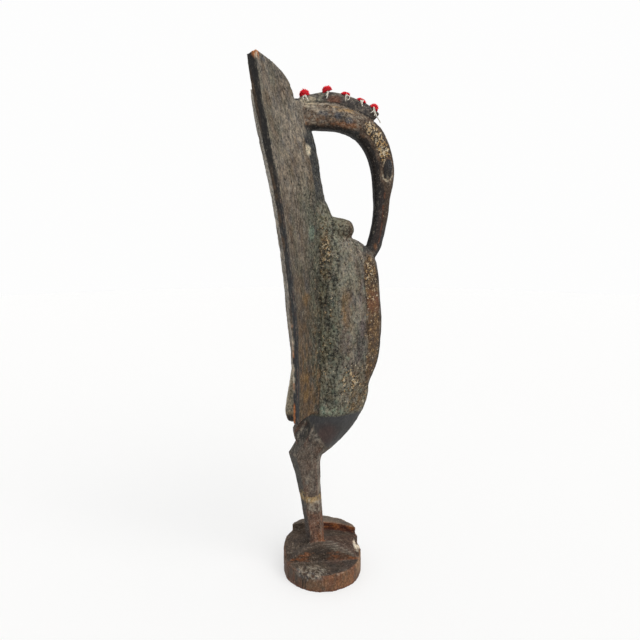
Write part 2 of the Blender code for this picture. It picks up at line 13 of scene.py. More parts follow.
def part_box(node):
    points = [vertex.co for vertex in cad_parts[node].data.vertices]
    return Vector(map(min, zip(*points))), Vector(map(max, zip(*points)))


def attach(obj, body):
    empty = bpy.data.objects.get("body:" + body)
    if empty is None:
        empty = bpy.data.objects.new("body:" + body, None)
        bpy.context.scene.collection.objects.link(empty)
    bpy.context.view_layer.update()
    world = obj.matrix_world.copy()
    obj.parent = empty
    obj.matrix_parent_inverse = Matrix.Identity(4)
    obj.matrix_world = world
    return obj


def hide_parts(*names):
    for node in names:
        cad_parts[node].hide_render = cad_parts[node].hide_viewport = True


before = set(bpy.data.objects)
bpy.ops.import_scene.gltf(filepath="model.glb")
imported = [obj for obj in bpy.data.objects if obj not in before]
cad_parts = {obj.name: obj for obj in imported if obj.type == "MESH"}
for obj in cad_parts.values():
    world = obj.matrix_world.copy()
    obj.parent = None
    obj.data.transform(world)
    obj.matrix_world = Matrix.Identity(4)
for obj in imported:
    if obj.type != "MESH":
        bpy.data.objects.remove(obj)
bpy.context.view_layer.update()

startTime = time.time()


def report(text):
    print("%5.1f s  %s" % (time.time() - startTime, text))


report("the packed figure is loaded")


# Camera, floor and light

studio = {
    "cameraPlace": (-0.16486, -1.64174, 1.02812),
    "cameraTurn": -5.5,            # degrees, negative looks to the right
    "cameraDown": 8.8,
    "lens": 32.8,
    "floorColour": (0.44, 0.44, 0.437),
    "floorGlow": 0.535,            # a little more towards the far rim
    "floorGlowFar": 0.545,
    "floorRadius": 9.0,
    "backdropGlow": 0.985,
    "lightAbove": 0.70,            # soft light from the room above and below
    "lightBelow": 0.13,
    "keyStrength": 1.50,
    "keyColour": (1.0, 0.985, 0.96),
    "keyFrom": (0.62, -0.95, 1.05),
    "keySoftness": 48.0,           # degrees
}


def makeWorld(scene):
    world = bpy.data.worlds.new("softRoom")
    world.use_nodes = True
    tree = world.node_tree
    room = tree.nodes["Background"]
    direction = addNode(tree, "ShaderNodeTexCoord").outputs["Generated"]
    height = addNode(tree, "ShaderNodeSeparateXYZ", None, Vector=direction).outputs["Z"]
    upward = between(tree, height, -0.45, 0.55)
    strength = addNode(tree, "ShaderNodeMapRange", None, Value=upward)
    strength.inputs["To Min"].default_value = studio["lightBelow"]
    strength.inputs["To Max"].default_value = studio["lightAbove"]
    tree.links.new(strength.outputs[0], room.inputs["Strength"])
    room.inputs["Color"].default_value = (1.0, 1.0, 1.0, 1.0)
    scene.world = world


def makeStudio():
    scene = bpy.context.scene
    scene.view_settings.view_transform = "Standard"
    scene.view_settings.look = "None"
    cameraData = bpy.data.cameras.new("photoCamera")
    cameraData.lens = studio["lens"]
    cameraData.sensor_width = 36.0
    cameraData.clip_end = 60.0
    camera = bpy.data.objects.new("photoCamera", cameraData)
    camera.location = studio["cameraPlace"]
    camera.rotation_euler = (math.radians(90 - studio["cameraDown"]), 0.0, math.radians(studio["cameraTurn"]))
    scene.collection.objects.link(camera)
    scene.camera = camera
    makeWorld(scene)

    keyData = bpy.data.lights.new("keyLight", "SUN")
    keyData.energy = studio["keyStrength"]
    keyData.color = studio["keyColour"]
    keyData.angle = math.radians(studio["keySoftness"])
    key = bpy.data.objects.new("keyLight", keyData)
    key.rotation_euler = Vector(studio["keyFrom"]).to_track_quat("Z", "Y").to_euler()
    scene.collection.objects.link(key)

    bpy.ops.mesh.primitive_circle_add(vertices=96, radius=studio["floorRadius"], fill_type="NGON")
    floor = bpy.context.object
    floor.name = "paleFloor"
    floor.location.z = -0.0002
    floor.visible_diffuse = False
    floorLook = bpy.data.materials.new("palePaper")
    floorLook.use_nodes = True
    paper = floorLook.node_tree.nodes["Principled BSDF"]
    paper.inputs["Base Color"].default_value = (*studio["floorColour"], 1.0)
    paper.inputs["Roughness"].default_value = 0.9
    paper.inputs["Specular IOR Level"].default_value = 0.05
    paper.inputs["Emission Color"].default_value = (1.0, 1.0, 1.0, 1.0)
    tree = floorLook.node_tree
    place = addNode(tree, "ShaderNodeTexCoord").outputs["Object"]
    far = addNode(tree, "ShaderNodeVectorMath", {"operation": "LENGTH"}, i0=place).outputs["Value"]
    glowing = addNode(tree, "ShaderNodeMapRange", None, Value=between(tree, far, 0.6, studio["floorRadius"]))
    glowing.inputs["To Min"].default_value = studio["floorGlow"]
    glowing.inputs["To Max"].default_value = studio["floorGlowFar"]
    tree.links.new(glowing.outputs[0], paper.inputs["Emission Strength"])
    floor.data.materials.append(floorLook)

    bpy.ops.mesh.primitive_uv_sphere_add(segments=48, ring_count=24, radius=studio["floorRadius"] + 0.5)
    backdrop = bpy.context.object
    backdrop.name = "paleBackdrop"
    glow = bpy.data.materials.new("backdropGlow")
    glow.use_nodes = True
    tree = glow.node_tree
    tree.nodes.clear()
    emission = tree.nodes.new("ShaderNodeEmission")
    emission.inputs["Color"].default_value = (1.0, 1.0, 0.998, 1.0)
    emission.inputs["Strength"].default_value = studio["backdropGlow"]
    output = tree.nodes.new("ShaderNodeOutputMaterial")
    tree.links.new(emission.outputs[0], output.inputs["Surface"])
    backdrop.data.materials.append(glow)
    backdrop.visible_diffuse = False
    backdrop.visible_glossy = False
    backdrop.visible_shadow = False
    backdrop.visible_transmission = False


# Helpers for materials

def addNode(tree, kind, settings=None, **sockets):
    node = tree.nodes.new(kind)
    for name, value in (settings or {}).items():
        setattr(node, name, value)
    for name, value in sockets.items():
        socket = node.inputs[int(name[1:])] if name[0] == "i" and name[1:].isdigit() else node.inputs[name]
        if isinstance(value, bpy.types.NodeSocket):
            tree.links.new(value, socket)
        else:
            socket.default_value = value
    return node


def attribute(tree, name, output="Fac"):
    return addNode(tree, "ShaderNodeAttribute", {"attribute_name": name}).outputs[output]


def maths(tree, operation, first, second=0.0, clamp=False):
    return addNode(tree, "ShaderNodeMath", {"operation": operation, "use_clamp": clamp}, i0=first, i1=second).outputs[0]


def product(tree, *values):
    total = values[0]
    for value in values[1:]:
        total = maths(tree, "MULTIPLY", total, value)
    return total


def between(tree, value, low, high):
    # 0 at low and 1 at high
    node = addNode(tree, "ShaderNodeMapRange", {"interpolation_type": "SMOOTHSTEP"}, Value=value)
    node.inputs["From Min"].default_value = low
    node.inputs["From Max"].default_value = high
    return node.outputs[0]


def noiseFrom(tree, vector, scale, detail=3.0, roughness=0.6):
    return addNode(tree, "ShaderNodeTexNoise", None, Vector=vector, Scale=scale, Detail=detail, Roughness=roughness).outputs["Fac"]


def tint(tree, kind, share, base, colour):
    node = addNode(tree, "ShaderNodeMix", {"data_type": "RGBA", "blend_type": kind})
    for index, value in ((0, share), (6, base), (7, colour)):
        if isinstance(value, bpy.types.NodeSocket):
            tree.links.new(value, node.inputs[index])
        elif index == 0:
            node.inputs[index].default_value = value
        else:
            node.inputs[index].default_value = (*value, 1.0)
    return node.outputs[2]


def linear(red, green, blue):
    c = np.array([red, green, blue]) / 255.0
    return np.where(c <= 0.04045, c / 12.92, ((c + 0.055) / 1.055)**2.4)


makeStudio()
report("camera, floor and light are set")


# Helpers for shapes and patterns, all of them on arrays of points

def ramp(values, low, high):
    t = np.clip((values - low) / (high - low), 0.0, 1.0)
    return t * t * (3.0 - 2.0 * t)


def band(values, low, high, soft):
    return ramp(values, low - soft, low + soft) * (1.0 - ramp(values, high - soft, high + soft))


def hashOf(cell, seed):
    x, y, z = (cell[:, i].astype(np.int64) for i in range(3))
    mixed = (x * 374761393 + y * 668265263 + z * 1274126177 + seed * 974634077) & 0xFFFFFFFF
    mixed = ((mixed ^ (mixed >> 13)) * 1103515245) & 0xFFFFFFFF
    mixed = ((mixed ^ (mixed >> 11)) * 668265263) & 0xFFFFFFFF
    return ((mixed ^ (mixed >> 16)) & 0xFFFF) / 65535.0


def cloud(points, size, seed, layers=1):
    # smooth noise from -1 to 1
    total = np.zeros(len(points))
    weight, reach = 1.0, 0.0
    for layer in range(layers):
        place = points / (size * 0.5**layer) + 17.3 * layer
        cell = np.floor(place)
        t = place - cell
        t = t * t * (3.0 - 2.0 * t)
        value = np.zeros(len(points))
        for i in (0, 1):
            for j in (0, 1):
                for k in (0, 1):
                    share = (t[:, 0] if i else 1 - t[:, 0]) * (t[:, 1] if j else 1 - t[:, 1])
                    share = share * (t[:, 2] if k else 1 - t[:, 2])
                    value += share * hashOf(cell + (i, j, k), seed + 31 * layer)
        total += weight * (2.0 * value - 1.0)
        reach += weight
        weight *= 0.6
    return total / reach


def facets(points, size, seed):
    # distance to the nearest of scattered points, in cells, and that point's own number
    place = points / size
    cell = np.floor(place)
    first = np.full(len(points), 9.0)
    number = np.zeros(len(points))
    for i in (-1, 0, 1):
        for j in (-1, 0, 1):
            for k in (-1, 0, 1):
                near = cell + (i, j, k)
                centre = near + np.stack([hashOf(near, seed + s) for s in (1, 2, 3)], 1)
                gap = np.linalg.norm(place - centre, axis=1)
                number = np.where(gap < first, hashOf(near, seed + 7), number)
                first = np.minimum(first, gap)
    return first, number


def patch(points, centre, radii, seed=0, ragged=0.35, soft=0.25):
    # 1 inside a ragged egg-shaped place and 0 outside; a radius of 0 leaves that direction out
    radii = np.array(radii, float)
    weight = np.where(radii > 0, 1.0 / np.where(radii > 0, radii, 1.0), 0.0)
    gap = np.linalg.norm((points - np.array(centre)) * weight, axis=1)
    if ragged:
        gap = gap + ragged * cloud(points, 0.45 * radii[radii > 0].min() + 0.003, 900 + seed, 3)
    return 1.0 - ramp(gap, 1.0 - soft, 1.0 + soft)


def rowAt(rows, values):
    # every further column of a table, read at values of its first column
    table = np.array(rows)
    return [np.interp(values, table[:, 0], table[:, c]) for c in range(1, table.shape[1])]


def lineGap(x, z, path):
    best = np.full(len(x), 9.0)
    for a, b in zip(path[:-1], path[1:]):
        step = np.subtract(b, a)
        t = np.clip(((x - a[0]) * step[0] + (z - a[1]) * step[1]) / (step @ step), 0.0, 1.0)
        best = np.minimum(best, np.hypot(x - a[0] - t * step[0], z - a[1] - t * step[1]))
    return best


# The carving's own lines, the same as the solid's

lines = {
    # height, the wing edge's distance back and out, its root line, and its thickness
    "wing": [
        (0.515, -0.080, 0.152, -0.014, 0.0145), (0.600, -0.081, 0.165, -0.011, 0.0145),
        (0.700, -0.0825, 0.182, -0.013, 0.0145), (0.800, -0.086, 0.190, -0.015, 0.0150),
        (0.900, -0.095, 0.191, -0.017, 0.0150), (1.000, -0.107, 0.191, -0.017, 0.0155),
        (1.100, -0.122, 0.191, -0.019, 0.0170), (1.147, -0.128, 0.191, -0.022, 0.0190),
        (1.200, -0.138, 0.191, -0.031, 0.0220), (1.260, -0.147, 0.191, -0.047, 0.0255),
        (1.330, -0.161, 0.191, -0.063, 0.0260), (1.400, -0.171, 0.191, -0.078, 0.0260),
        (1.452, -0.176, 0.191, -0.089, 0.0260),
    ],
    "wingRootOut": 0.045,
    "wingCove": 0.009,
    "leftWingForward": (0.011, 0.62, 0.78),
    # middle of the neck, head and beak from the nape to the tip
    "neck": [
        (-0.070, 1.328), (-0.028, 1.330), (0.007, 1.330), (0.046, 1.326), (0.082, 1.315), (0.115, 1.297),
        (0.140, 1.271), (0.158, 1.235), (0.168, 1.195), (0.170, 1.156), (0.166, 1.116), (0.165, 1.078),
        (0.160, 1.044), (0.152, 1.006), (0.142, 0.974), (0.138, 0.947),
    ],
    # height, inner and outer edge of the band on the breast
    "band": [
        (0.584, 0.128, 0.1335), (0.604, 0.122, 0.143), (0.640, 0.121, 0.158), (0.676, 0.124, 0.166),
        (0.711, 0.127, 0.169), (0.764, 0.127, 0.171), (0.834, 0.123, 0.167), (0.869, 0.117, 0.163),
        (0.903, 0.113, 0.160), (0.937, 0.114, 0.153), (0.956, 0.122, 0.146),
    ],
    # forward distance, and the crest's foot and top
    "crest": [
        (-0.062, 1.364, 1.381), (-0.028, 1.367, 1.390), (0.007, 1.367, 1.396), (0.036, 1.365, 1.395),
        (0.064, 1.357, 1.390), (0.092, 1.347, 1.381), (0.120, 1.334, 1.368), (0.140, 1.323, 1.357),
        (0.157, 1.320, 1.344),
    ],
    "mouth": [(0.1710, 1.128), (0.1675, 1.090), (0.1655, 1.050), (0.1620, 1.015), (0.1550, 0.982)],
    "eye": (0.1782, 1.1924),
    # height, the leg's back and front
    "leg": [
        (0.066, -0.045, 0.006), (0.150, -0.052, 0.003), (0.240, -0.0665, -0.004), (0.318, -0.0815, -0.007),
        (0.380, -0.1000, 0.000), (0.446, -0.0625, 0.020), (0.505, -0.0360, 0.026),
    ],
}


def wingPlace(points):
    # share of the way from the board's edge to its root, depth behind its front face, and the board's direction
    x, y, z = points.T
    out = np.abs(y)
    edgeX, edgeY, rootX, thick = rowAt(lines["wing"], z)
    forward, low, high = lines["leftWingForward"]
    edgeX = edgeX + np.where(y > 0, forward * (1.0 - ramp(z, low, high)), 0.0)
    runX, runY = rootX - edgeX, lines["wingRootOut"] - edgeY
    length = np.hypot(runX, runY)
    runX, runY = runX / length, runY / length
    share = ((x - edgeX) * runX + (out - edgeY) * runY) / length
    behind = (x - edgeX) * runY - (out - edgeY) * runX
    inside = np.clip(share, 0.0, 1.0)
    behind = behind + 4.0 * lines["wingCove"] * inside * (1.0 - inside) * runY
    return share, behind, thick, np.stack([runX, np.sign(y) * runY, np.zeros(len(x))], 1)


def zones(points, normals):
    # where each point lies on the carving
    x, y, z = points.T
    out = np.abs(y)
    share, behind, thick, run = wingPlace(points)
    wing = ramp(behind, -0.0065, -0.0025) * (1.0 - ramp(behind - thick, 0.004, 0.009)) * ramp(out, 0.034, 0.043)
    wing = wing * ramp(z, 0.503, 0.511) * ramp(share, -0.2, -0.1)
    wingEdge = wing * ramp(-(normals * run).sum(1), 0.42, 0.78) * (1.0 - ramp(share, 0.10, 0.16))
    neckLine = np.array(lines["neck"])
    best = np.full(len(points), 9.0)
    along = np.zeros(len(points))
    offset = np.zeros(len(points))
    travelled = 0.0
    for a, b in zip(neckLine[:-1], neckLine[1:]):
        step = b - a
        length = np.linalg.norm(step)
        t = np.clip(((x - a[0]) * step[0] + (z - a[1]) * step[1]) / length**2, 0.0, 1.0)
        gapX, gapZ = x - a[0] - t * step[0], z - a[1] - t * step[1]
        gap = np.hypot(gapX, gapZ)
        nearer = gap < best
        best = np.where(nearer, gap, best)
        along = np.where(nearer, travelled + t * length, along)
        offset = np.where(nearer, (gapX * -step[1] + gapZ * step[0]) / length, offset)
        travelled += length
    crestFoot, crestTop = rowAt(lines["crest"], x)
    crestPart = (1.0 - ramp(out, 0.016, 0.022)) * ramp(z - crestFoot, -0.001, 0.002) * (1.0 - ramp(x, 0.158, 0.161))
    reach = np.interp(along, [0.0, 0.40, 0.46], [0.047, 0.047, 0.029])
    neck = np.maximum(1.0 - ramp(best - reach, 0.0, 0.004), crestPart) * (1.0 - ramp(out, 0.040, 0.046))
    neck = neck * np.maximum(ramp(x, 0.094, 0.100), ramp(z, 1.287, 1.296)) * ramp(x, -0.075, -0.050)
    neck = neck * np.maximum(ramp(z, 0.955, 0.975), ramp(x, 0.146, 0.150)) * (1.0 - wing)
    base = 1.0 - ramp(z - np.where(y > 0.03, 0.02, 0.0), 0.107, 0.111)
    legFoot = ramp(z, 0.0835, 0.0860) * band(x, -0.0475, 0.0070, 0.0012) * (1.0 - ramp(out, 0.0285, 0.0305))
    base = base * (1.0 - legFoot)
    thighFront = -0.028 + (0.462 - z) * 0.62
    thigh = (1.0 - ramp(z, 0.495, 0.510)) * (1.0 - ramp(x - thighFront, -0.004, 0.004))
    leg = (1.0 - base) * (1.0 - wing) * np.maximum(1.0 - ramp(z, 0.395, 0.405), thigh)
    leg = leg * (1.0 - ramp(x + 1.05 * (0.366 - z), 0.004, 0.010) * ramp(z, 0.364, 0.368))
    rump = (1.0 - ramp(z, 0.474, 0.486)) * ramp(z, 0.408, 0.420) * (1.0 - ramp(out, 0.0275, 0.0295))
    rump = rump * (1.0 - ramp(x + 0.0585 - 1.42 * (z - 0.462), -0.004, 0.000)) * (x < -0.045)
    lowBelly = (1.0 - ramp(z, 0.500, 0.507)) * (1.0 - leg) * (1.0 - base) * (1.0 - wing)
    bandX, bandOuter = rowAt(lines["band"], z)
    keel = ramp(x - bandX, -0.003, 0.001) * band(z, 0.584, 0.960, 0.004) * (1.0 - neck)
    tail = (1.0 - ramp(out, 0.0225, 0.026)) * (1.0 - ramp(x, -0.050, -0.046)) * band(z, 0.470, 0.800, 0.006)
    return {
        "wing": wing, "wingEdge": wingEdge, "share": share, "behind": behind, "thick": thick,
        "neck": neck, "along": along, "offset": offset, "crest": crestPart * neck, "crestHeight": z - crestFoot,
        "crestDepth": crestTop - z, "base": base, "leg": leg, "lowBelly": lowBelly, "keel": keel,
        "keelDepth": x - bandX, "keelRim": bandOuter - x, "tail": tail, "rump": rump,
        "body": (1.0 - wing) * (1.0 - neck) * (1.0 - base) * (1.0 - leg), "out": out,
        "side": ramp(np.hypot(x, y), 0.1115, 0.1140) * base,
    }


def grainOf(points, zone):
    # coordinates that run twice across the grain and then along it, squeezed along it
    x, y, z = points.T
    lean = np.interp(z, [0.5, 0.8, 1.1, 1.45], [0.0, -0.004, -0.036, -0.095])
    flow = np.stack([x - lean, y, z * 0.40], 1)
    onWing = np.stack([zone["share"] * 0.115, zone["behind"], z * 0.36 + 3.0], 1)
    flow = np.where(zone["wing"][:, None] > 0.5, onWing, flow)
    onNeck = np.stack([zone["offset"], y, zone["along"] * 0.50 + 5.0], 1)
    flow = np.where(zone["neck"][:, None] > 0.5, onNeck, flow)
    pith = np.hypot(x - 0.012, y + 0.030)
    onTop = np.stack([pith, z, np.arctan2(y + 0.030, x - 0.012) * 0.012 + 7.0], 1)
    flow = np.where(zone["base"][:, None] > 0.5, onTop, flow)
    onSide = np.stack([np.arctan2(y, x) * 0.117, np.hypot(x, y), z * 0.30 + 9.0], 1)
    return np.where(zone["side"][:, None] > 0.5, onSide, flow)


# The carved figure's surface

carving = {
    "voxel": 0.0025,
    "faces": 194000,
    "softening": 46,               # rounds of smoothing, less along the carved edges
    "edgeAngle": 33.0,             # a fold sharper than this is a carved edge
    "edgeKeep": (0.002, 0.011),
    "edgeReach": 0.030,            # the length over which an edge line is made fair
    "wander": 0.0010,              # hand-cut unevenness
    "toolMark": 0.0008,
    "grainDepth": 0.00045,
    "crustDepth": 0.0017,
    "edgeLoss": 0.0015,            # wood worn off the edges
    "eyeSize": (0.0142, 0.0262),
    # height, and how far the front of the throat moves forward there
    "throatShifts": [
        (1.040, 0.0), (1.062, 0.003), (1.100, 0.005), (1.130, 0.0), (1.165, -0.0035), (1.185, -0.003),
        (1.215, 0.001), (1.250, 0.004), (1.285, 0.003), (1.300, 0.0),
    ],
    "eyeRise": 0.0016,
    "eyeGroove": 0.0016,
    "mouthDepth": 0.0016,
    "bandGroove": 0.0010,
    "crestGroove": 0.0014,
    "sideCrack": 0.0030,
}


def cleanCopy(source):
    mesh = source.data.copy()
    work = bmesh.new()
    work.from_mesh(mesh)
    bmesh.ops.remove_doubles(work, verts=work.verts, dist=1e-6)
    bmesh.ops.recalc_face_normals(work, faces=work.faces)
    sharp = math.radians(carving["edgeAngle"])
    marks, runs = [], []
    for edge in work.edges:
        if len(edge.link_faces) == 2 and edge.calc_face_angle_signed() > sharp:
            a, b = (np.array(v.co) for v in edge.verts)
            length = np.linalg.norm(b - a)
            count = max(int(length / 0.0025), 1)
            marks += [a + (b - a) * k / count for k in range(count + 1)]
            runs += [(b - a) / max(length, 1e-9)] * (count + 1)
    work.to_mesh(mesh)
    work.free()
    marks, runs = np.array(marks), np.array(runs)
    atMouth = (lineGap(marks[:, 0], marks[:, 2], lines["mouth"]) < 0.006) & (np.abs(marks[:, 1]) > 0.008)
    x, y, z = marks.T
    atThroat = (np.abs(y) < 0.040) & (x > -0.045) & (x < 0.10) & (z > 0.985) & (z < 1.20)
    atRidge = (np.abs(y + 0.0455) < 0.004) & (z > 0.060) & (z < 0.112) & (np.abs(x) < 0.085)
    keep = ~(atMouth | atThroat | atRidge)
    return mesh, marks[keep], runs[keep]


def treeOf(places):
    tree = kdtree.KDTree(len(places))
    for i, place in enumerate(places):
        tree.insert(place, i)
    tree.balance()
    return tree


def fairShifts(marks, runs, tree):
    # how far each place on an edge moves sideways to lie on a fair line through its neighbours
    shifts = np.zeros_like(marks)
    for i, mark in enumerate(marks):
        near = [hit[1] for hit in tree.find_range(mark, carving["edgeReach"])]
        gap = marks[near] - mark
        ahead = gap @ runs[i]
        aside = np.linalg.norm(gap - ahead[:, None] * runs[i], axis=1)
        keep = (aside < 0.34 * np.abs(ahead) + 0.0008) & (np.abs(runs[near] @ runs[i]) > 0.82)
        weight = np.exp(-(ahead / (0.42 * carving["edgeReach"]))**2) * keep
        back, front = weight[ahead < 0].sum(), weight[ahead > 0].sum()
        mean = (weight @ gap) / weight.sum()
        shifts[i] = (mean - runs[i] * (mean @ runs[i])) * min(back, front) / max(back, front, 1e-6)
    return shifts


def evenSkin(mesh, name):
    rough = bpy.data.objects.new(name + "Rough", mesh)
    bpy.context.scene.collection.objects.link(rough)
    step = rough.modifiers.new("even skin", "REMESH")
    step.mode = "VOXEL"
    step.voxel_size = carving["voxel"]
    bpy.context.view_layer.update()
    evaluated = rough.evaluated_get(bpy.context.evaluated_depsgraph_get())
    result = bpy.data.meshes.new_from_object(evaluated)
    bpy.data.objects.remove(rough, do_unlink=True)
    result.name = name
    return result


def fewerFaces(mesh, name):
    dense = bpy.data.objects.new(name + "Dense", mesh)
    bpy.context.scene.collection.objects.link(dense)
    triangles = sum(len(p.vertices) - 2 for p in mesh.polygons)
    step = dense.modifiers.new("fewer faces", "DECIMATE")
    step.ratio = min(1.0, carving["faces"] / triangles)
    bpy.context.view_layer.update()
    evaluated = dense.evaluated_get(bpy.context.evaluated_depsgraph_get())
    result = bpy.data.meshes.new_from_object(evaluated)
    bpy.data.objects.remove(dense, do_unlink=True)
    result.name = name
    return result


def readPoints(mesh):
    flat = np.empty(len(mesh.vertices) * 3)
    mesh.vertices.foreach_get("co", flat)
    return flat.reshape(-1, 3)


def readNormals(mesh):
    flat = np.empty(len(mesh.vertices) * 3)
    mesh.vertices.foreach_get("normal", flat)
    return flat.reshape(-1, 3)


def writePoints(mesh, points):
    mesh.vertices.foreach_set("co", points.ravel())
    mesh.update()


def soften(mesh, points, share):
    flat = np.empty(len(mesh.edges) * 2, int)
    mesh.edges.foreach_get("vertices", flat)
    a, b = flat.reshape(-1, 2).T
    count = len(points)
    degree = np.bincount(flat, minlength=count).astype(float)
    for step in [0.55, -0.57] * carving["softening"]:
        mean = np.empty_like(points)
        for c in range(3):
            mean[:, c] = (np.bincount(a, points[b, c], count) + np.bincount(b, points[a, c], count)) / degree
        points = points + step * share[:, None] * (mean - points)
    return points


def nearest(tree, points):
    found = [tree.find(p) for p in points]
    return np.array([hit[2] for hit in found]), np.array([hit[1] for hit in found])


def crustShare(points, zone):
    # where the thick old crust sits: the flank, the knob and the foot of the throat
    x, y, z = points.T
    flank = zone["body"] * (1.0 - zone["lowBelly"]) * (1.0 - zone["tail"]) * (1.0 - 0.6 * zone["keel"])
    forward = 1.0 - 0.78 * ramp(x, 0.036, 0.056) * ramp(z, 0.64, 0.72) * (1.0 - ramp(z, 0.96, 1.0))
    throat = 1.0 - 0.75 * ramp(z, 1.08, 1.16)
    nearRoot = zone["wing"] * ramp(zone["share"], 0.62, 0.90) * band(z, 0.60, 1.13, 0.05) * (zone["behind"] < 0.008)
    return np.maximum(flank * forward * throat, 0.75 * nearRoot) * (0.8 + 0.25 * cloud(points, 0.05, 61))


def eyeGap(points):
    x, y, z = points.T
    across, up = carving["eyeSize"]
    eyeX, eyeZ = lines["eye"]
    aside = (x - eyeX) / across - 0.12 * (z - eyeZ) / up
    return (np.abs(aside)**2.4 + np.abs((z - eyeZ) / up)**2.0)**0.45


def reliefOf(points, zone):
    x, y, z = points.T
    onSide = ramp(zone["out"], 0.012, 0.018) * zone["neck"]
    gap = eyeGap(points)
    push = carving["eyeRise"] * (1.0 - ramp(gap, 0.55, 1.0)) * onSide
    push -= carving["eyeGroove"] * band(gap, 1.02, 1.26, 0.12) * onSide
    mouth = lineGap(x, z, lines["mouth"])
    push -= carving["mouthDepth"] * (1.0 - ramp(mouth, 0.001, 0.0045)) * zone["neck"] * ramp(zone["out"], 0.007, 0.011)
    keelEdge = np.abs(zone["keelDepth"] + 0.002)
    push -= carving["bandGroove"] * (1.0 - ramp(keelEdge, 0.001, 0.005)) * band(z, 0.590, 0.950, 0.01) * zone["body"]
    crestLine = np.abs(zone["crestHeight"] + 0.001)
    push -= carving["crestGroove"] * (1.0 - ramp(crestLine, 0.001, 0.005)) * zone["neck"] * (1 - ramp(x, 0.145, 0.155))
    crack = np.abs(x + 0.0690 - 0.003 * np.sin(z * 90.0))
    second = np.abs(x + 0.0580 + 0.002 * np.sin(z * 120.0))
    front = zone["side"] * (y < 0) * ramp(z, 0.004, 0.012)
    push -= carving["sideCrack"] * (1.0 - ramp(crack, 0.0008, 0.0035)) * front
    push -= 0.5 * carving["sideCrack"] * (1.0 - ramp(second, 0.0006, 0.0028)) * front * (1.0 - ramp(z, 0.035, 0.045))
    flow = np.stack([np.hypot(x - 0.012, y + 0.030), z, np.zeros(len(x))], 1)
    push += 0.0010 * cloud(flow, 0.007, 71, 2) * zone["base"] * (1.0 - zone["side"]) * ramp(z, 0.045, 0.055)
    push += 0.0009 * cloud(points, 0.020, 72, 2) * zone["base"]
    rough = patch(points, (-0.045, -0.092, 0.052), (0.050, 0.030, 0.016), 1)
    push += 0.0032 * rough * (cloud(points, 0.012, 73, 3) - 0.25)
    frontRim = patch(points, (-0.020, -0.116, 0.052), (0.060, 0.010, 0.010), 2, 0.5)
    push -= 0.0022 * frontRim * ramp(cloud(points, 0.018, 74, 2), -0.1, 0.4)
    return push


def throatShift(points):
    # draws the front of the throat into one hollow curve down to the knob
    x, y, z = points.T
    front = ramp(x, *[np.interp(z, [1.0, 1.1, 1.3], row) for row in ([-0.03, -0.035, -0.075], [0.0, -0.005, -0.045])])
    front = front * (np.abs(y) < 0.046) * (1.0 - ramp(x, 0.035, 0.060))
    return front * np.interp(z, *zip(*carving["throatShifts"]))


def carve():
    mesh, marks, runs = cleanCopy(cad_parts["carved_figure"])
    mesh = evenSkin(mesh, "carvedBird")
    points = readPoints(mesh)
    report("even skin of %d points" % len(points))
    edgeTree = treeOf(marks)
    shifts = fairShifts(marks, runs, edgeTree)
    toEdge, hit = nearest(edgeTree, points)
    points = points + shifts[hit] * (1.0 - ramp(toEdge, 0.003, 0.016))[:, None]
    points[:, 0] += throatShift(points)
    fairTree = treeOf(marks + shifts)
    toEdge, hit = nearest(fairTree, points)
    points = soften(mesh, points, 0.07 + 0.93 * ramp(toEdge, *carving["edgeKeep"]))
    writePoints(mesh, points)
    report("edges are fair and hollows are soft")
    normals = readNormals(mesh)
    zone = zones(points, normals)
    flow = grainOf(points, zone)
    nearEdge = 1.0 - ramp(toEdge, 0.001, 0.010)
    push = carving["wander"] * cloud(points, 0.060, 11, 2)
    first, number = facets(points * (1.0, 1.0, 0.55), 0.017, 40)
    toolShare = 0.35 * zone["wing"] + 0.9 * zone["neck"] + 0.7 * zone["leg"] + 0.8 * zone["base"] + 0.7 * zone["body"]
    push += carving["toolMark"] * toolShare * ((number - 0.5) + 0.9 * (first - 0.5))
    push += carving["grainDepth"] * cloud(flow, 0.0065, 21, 2) * (1.0 - 0.7 * zone["lowBelly"])
    push += carving["crustDepth"] * crustShare(points, zone) * np.clip(cloud(points * (1, 1, 0.7), 0.011, 31, 2), -0.6, 0.7)
    push -= carving["edgeLoss"] * nearEdge * ramp(cloud(points, 0.022, 51, 2), -0.1, 0.7)
    push += reliefOf(points, zone)
    writePoints(mesh, points + normals * push[:, None])
    mesh = fewerFaces(mesh, "carvedBird")
    toEdge, hit = nearest(fairTree, readPoints(mesh))
    return mesh, toEdge


birdMesh, toEdge = carve()
report("the figure is carved: %d faces" % len(birdMesh.polygons))
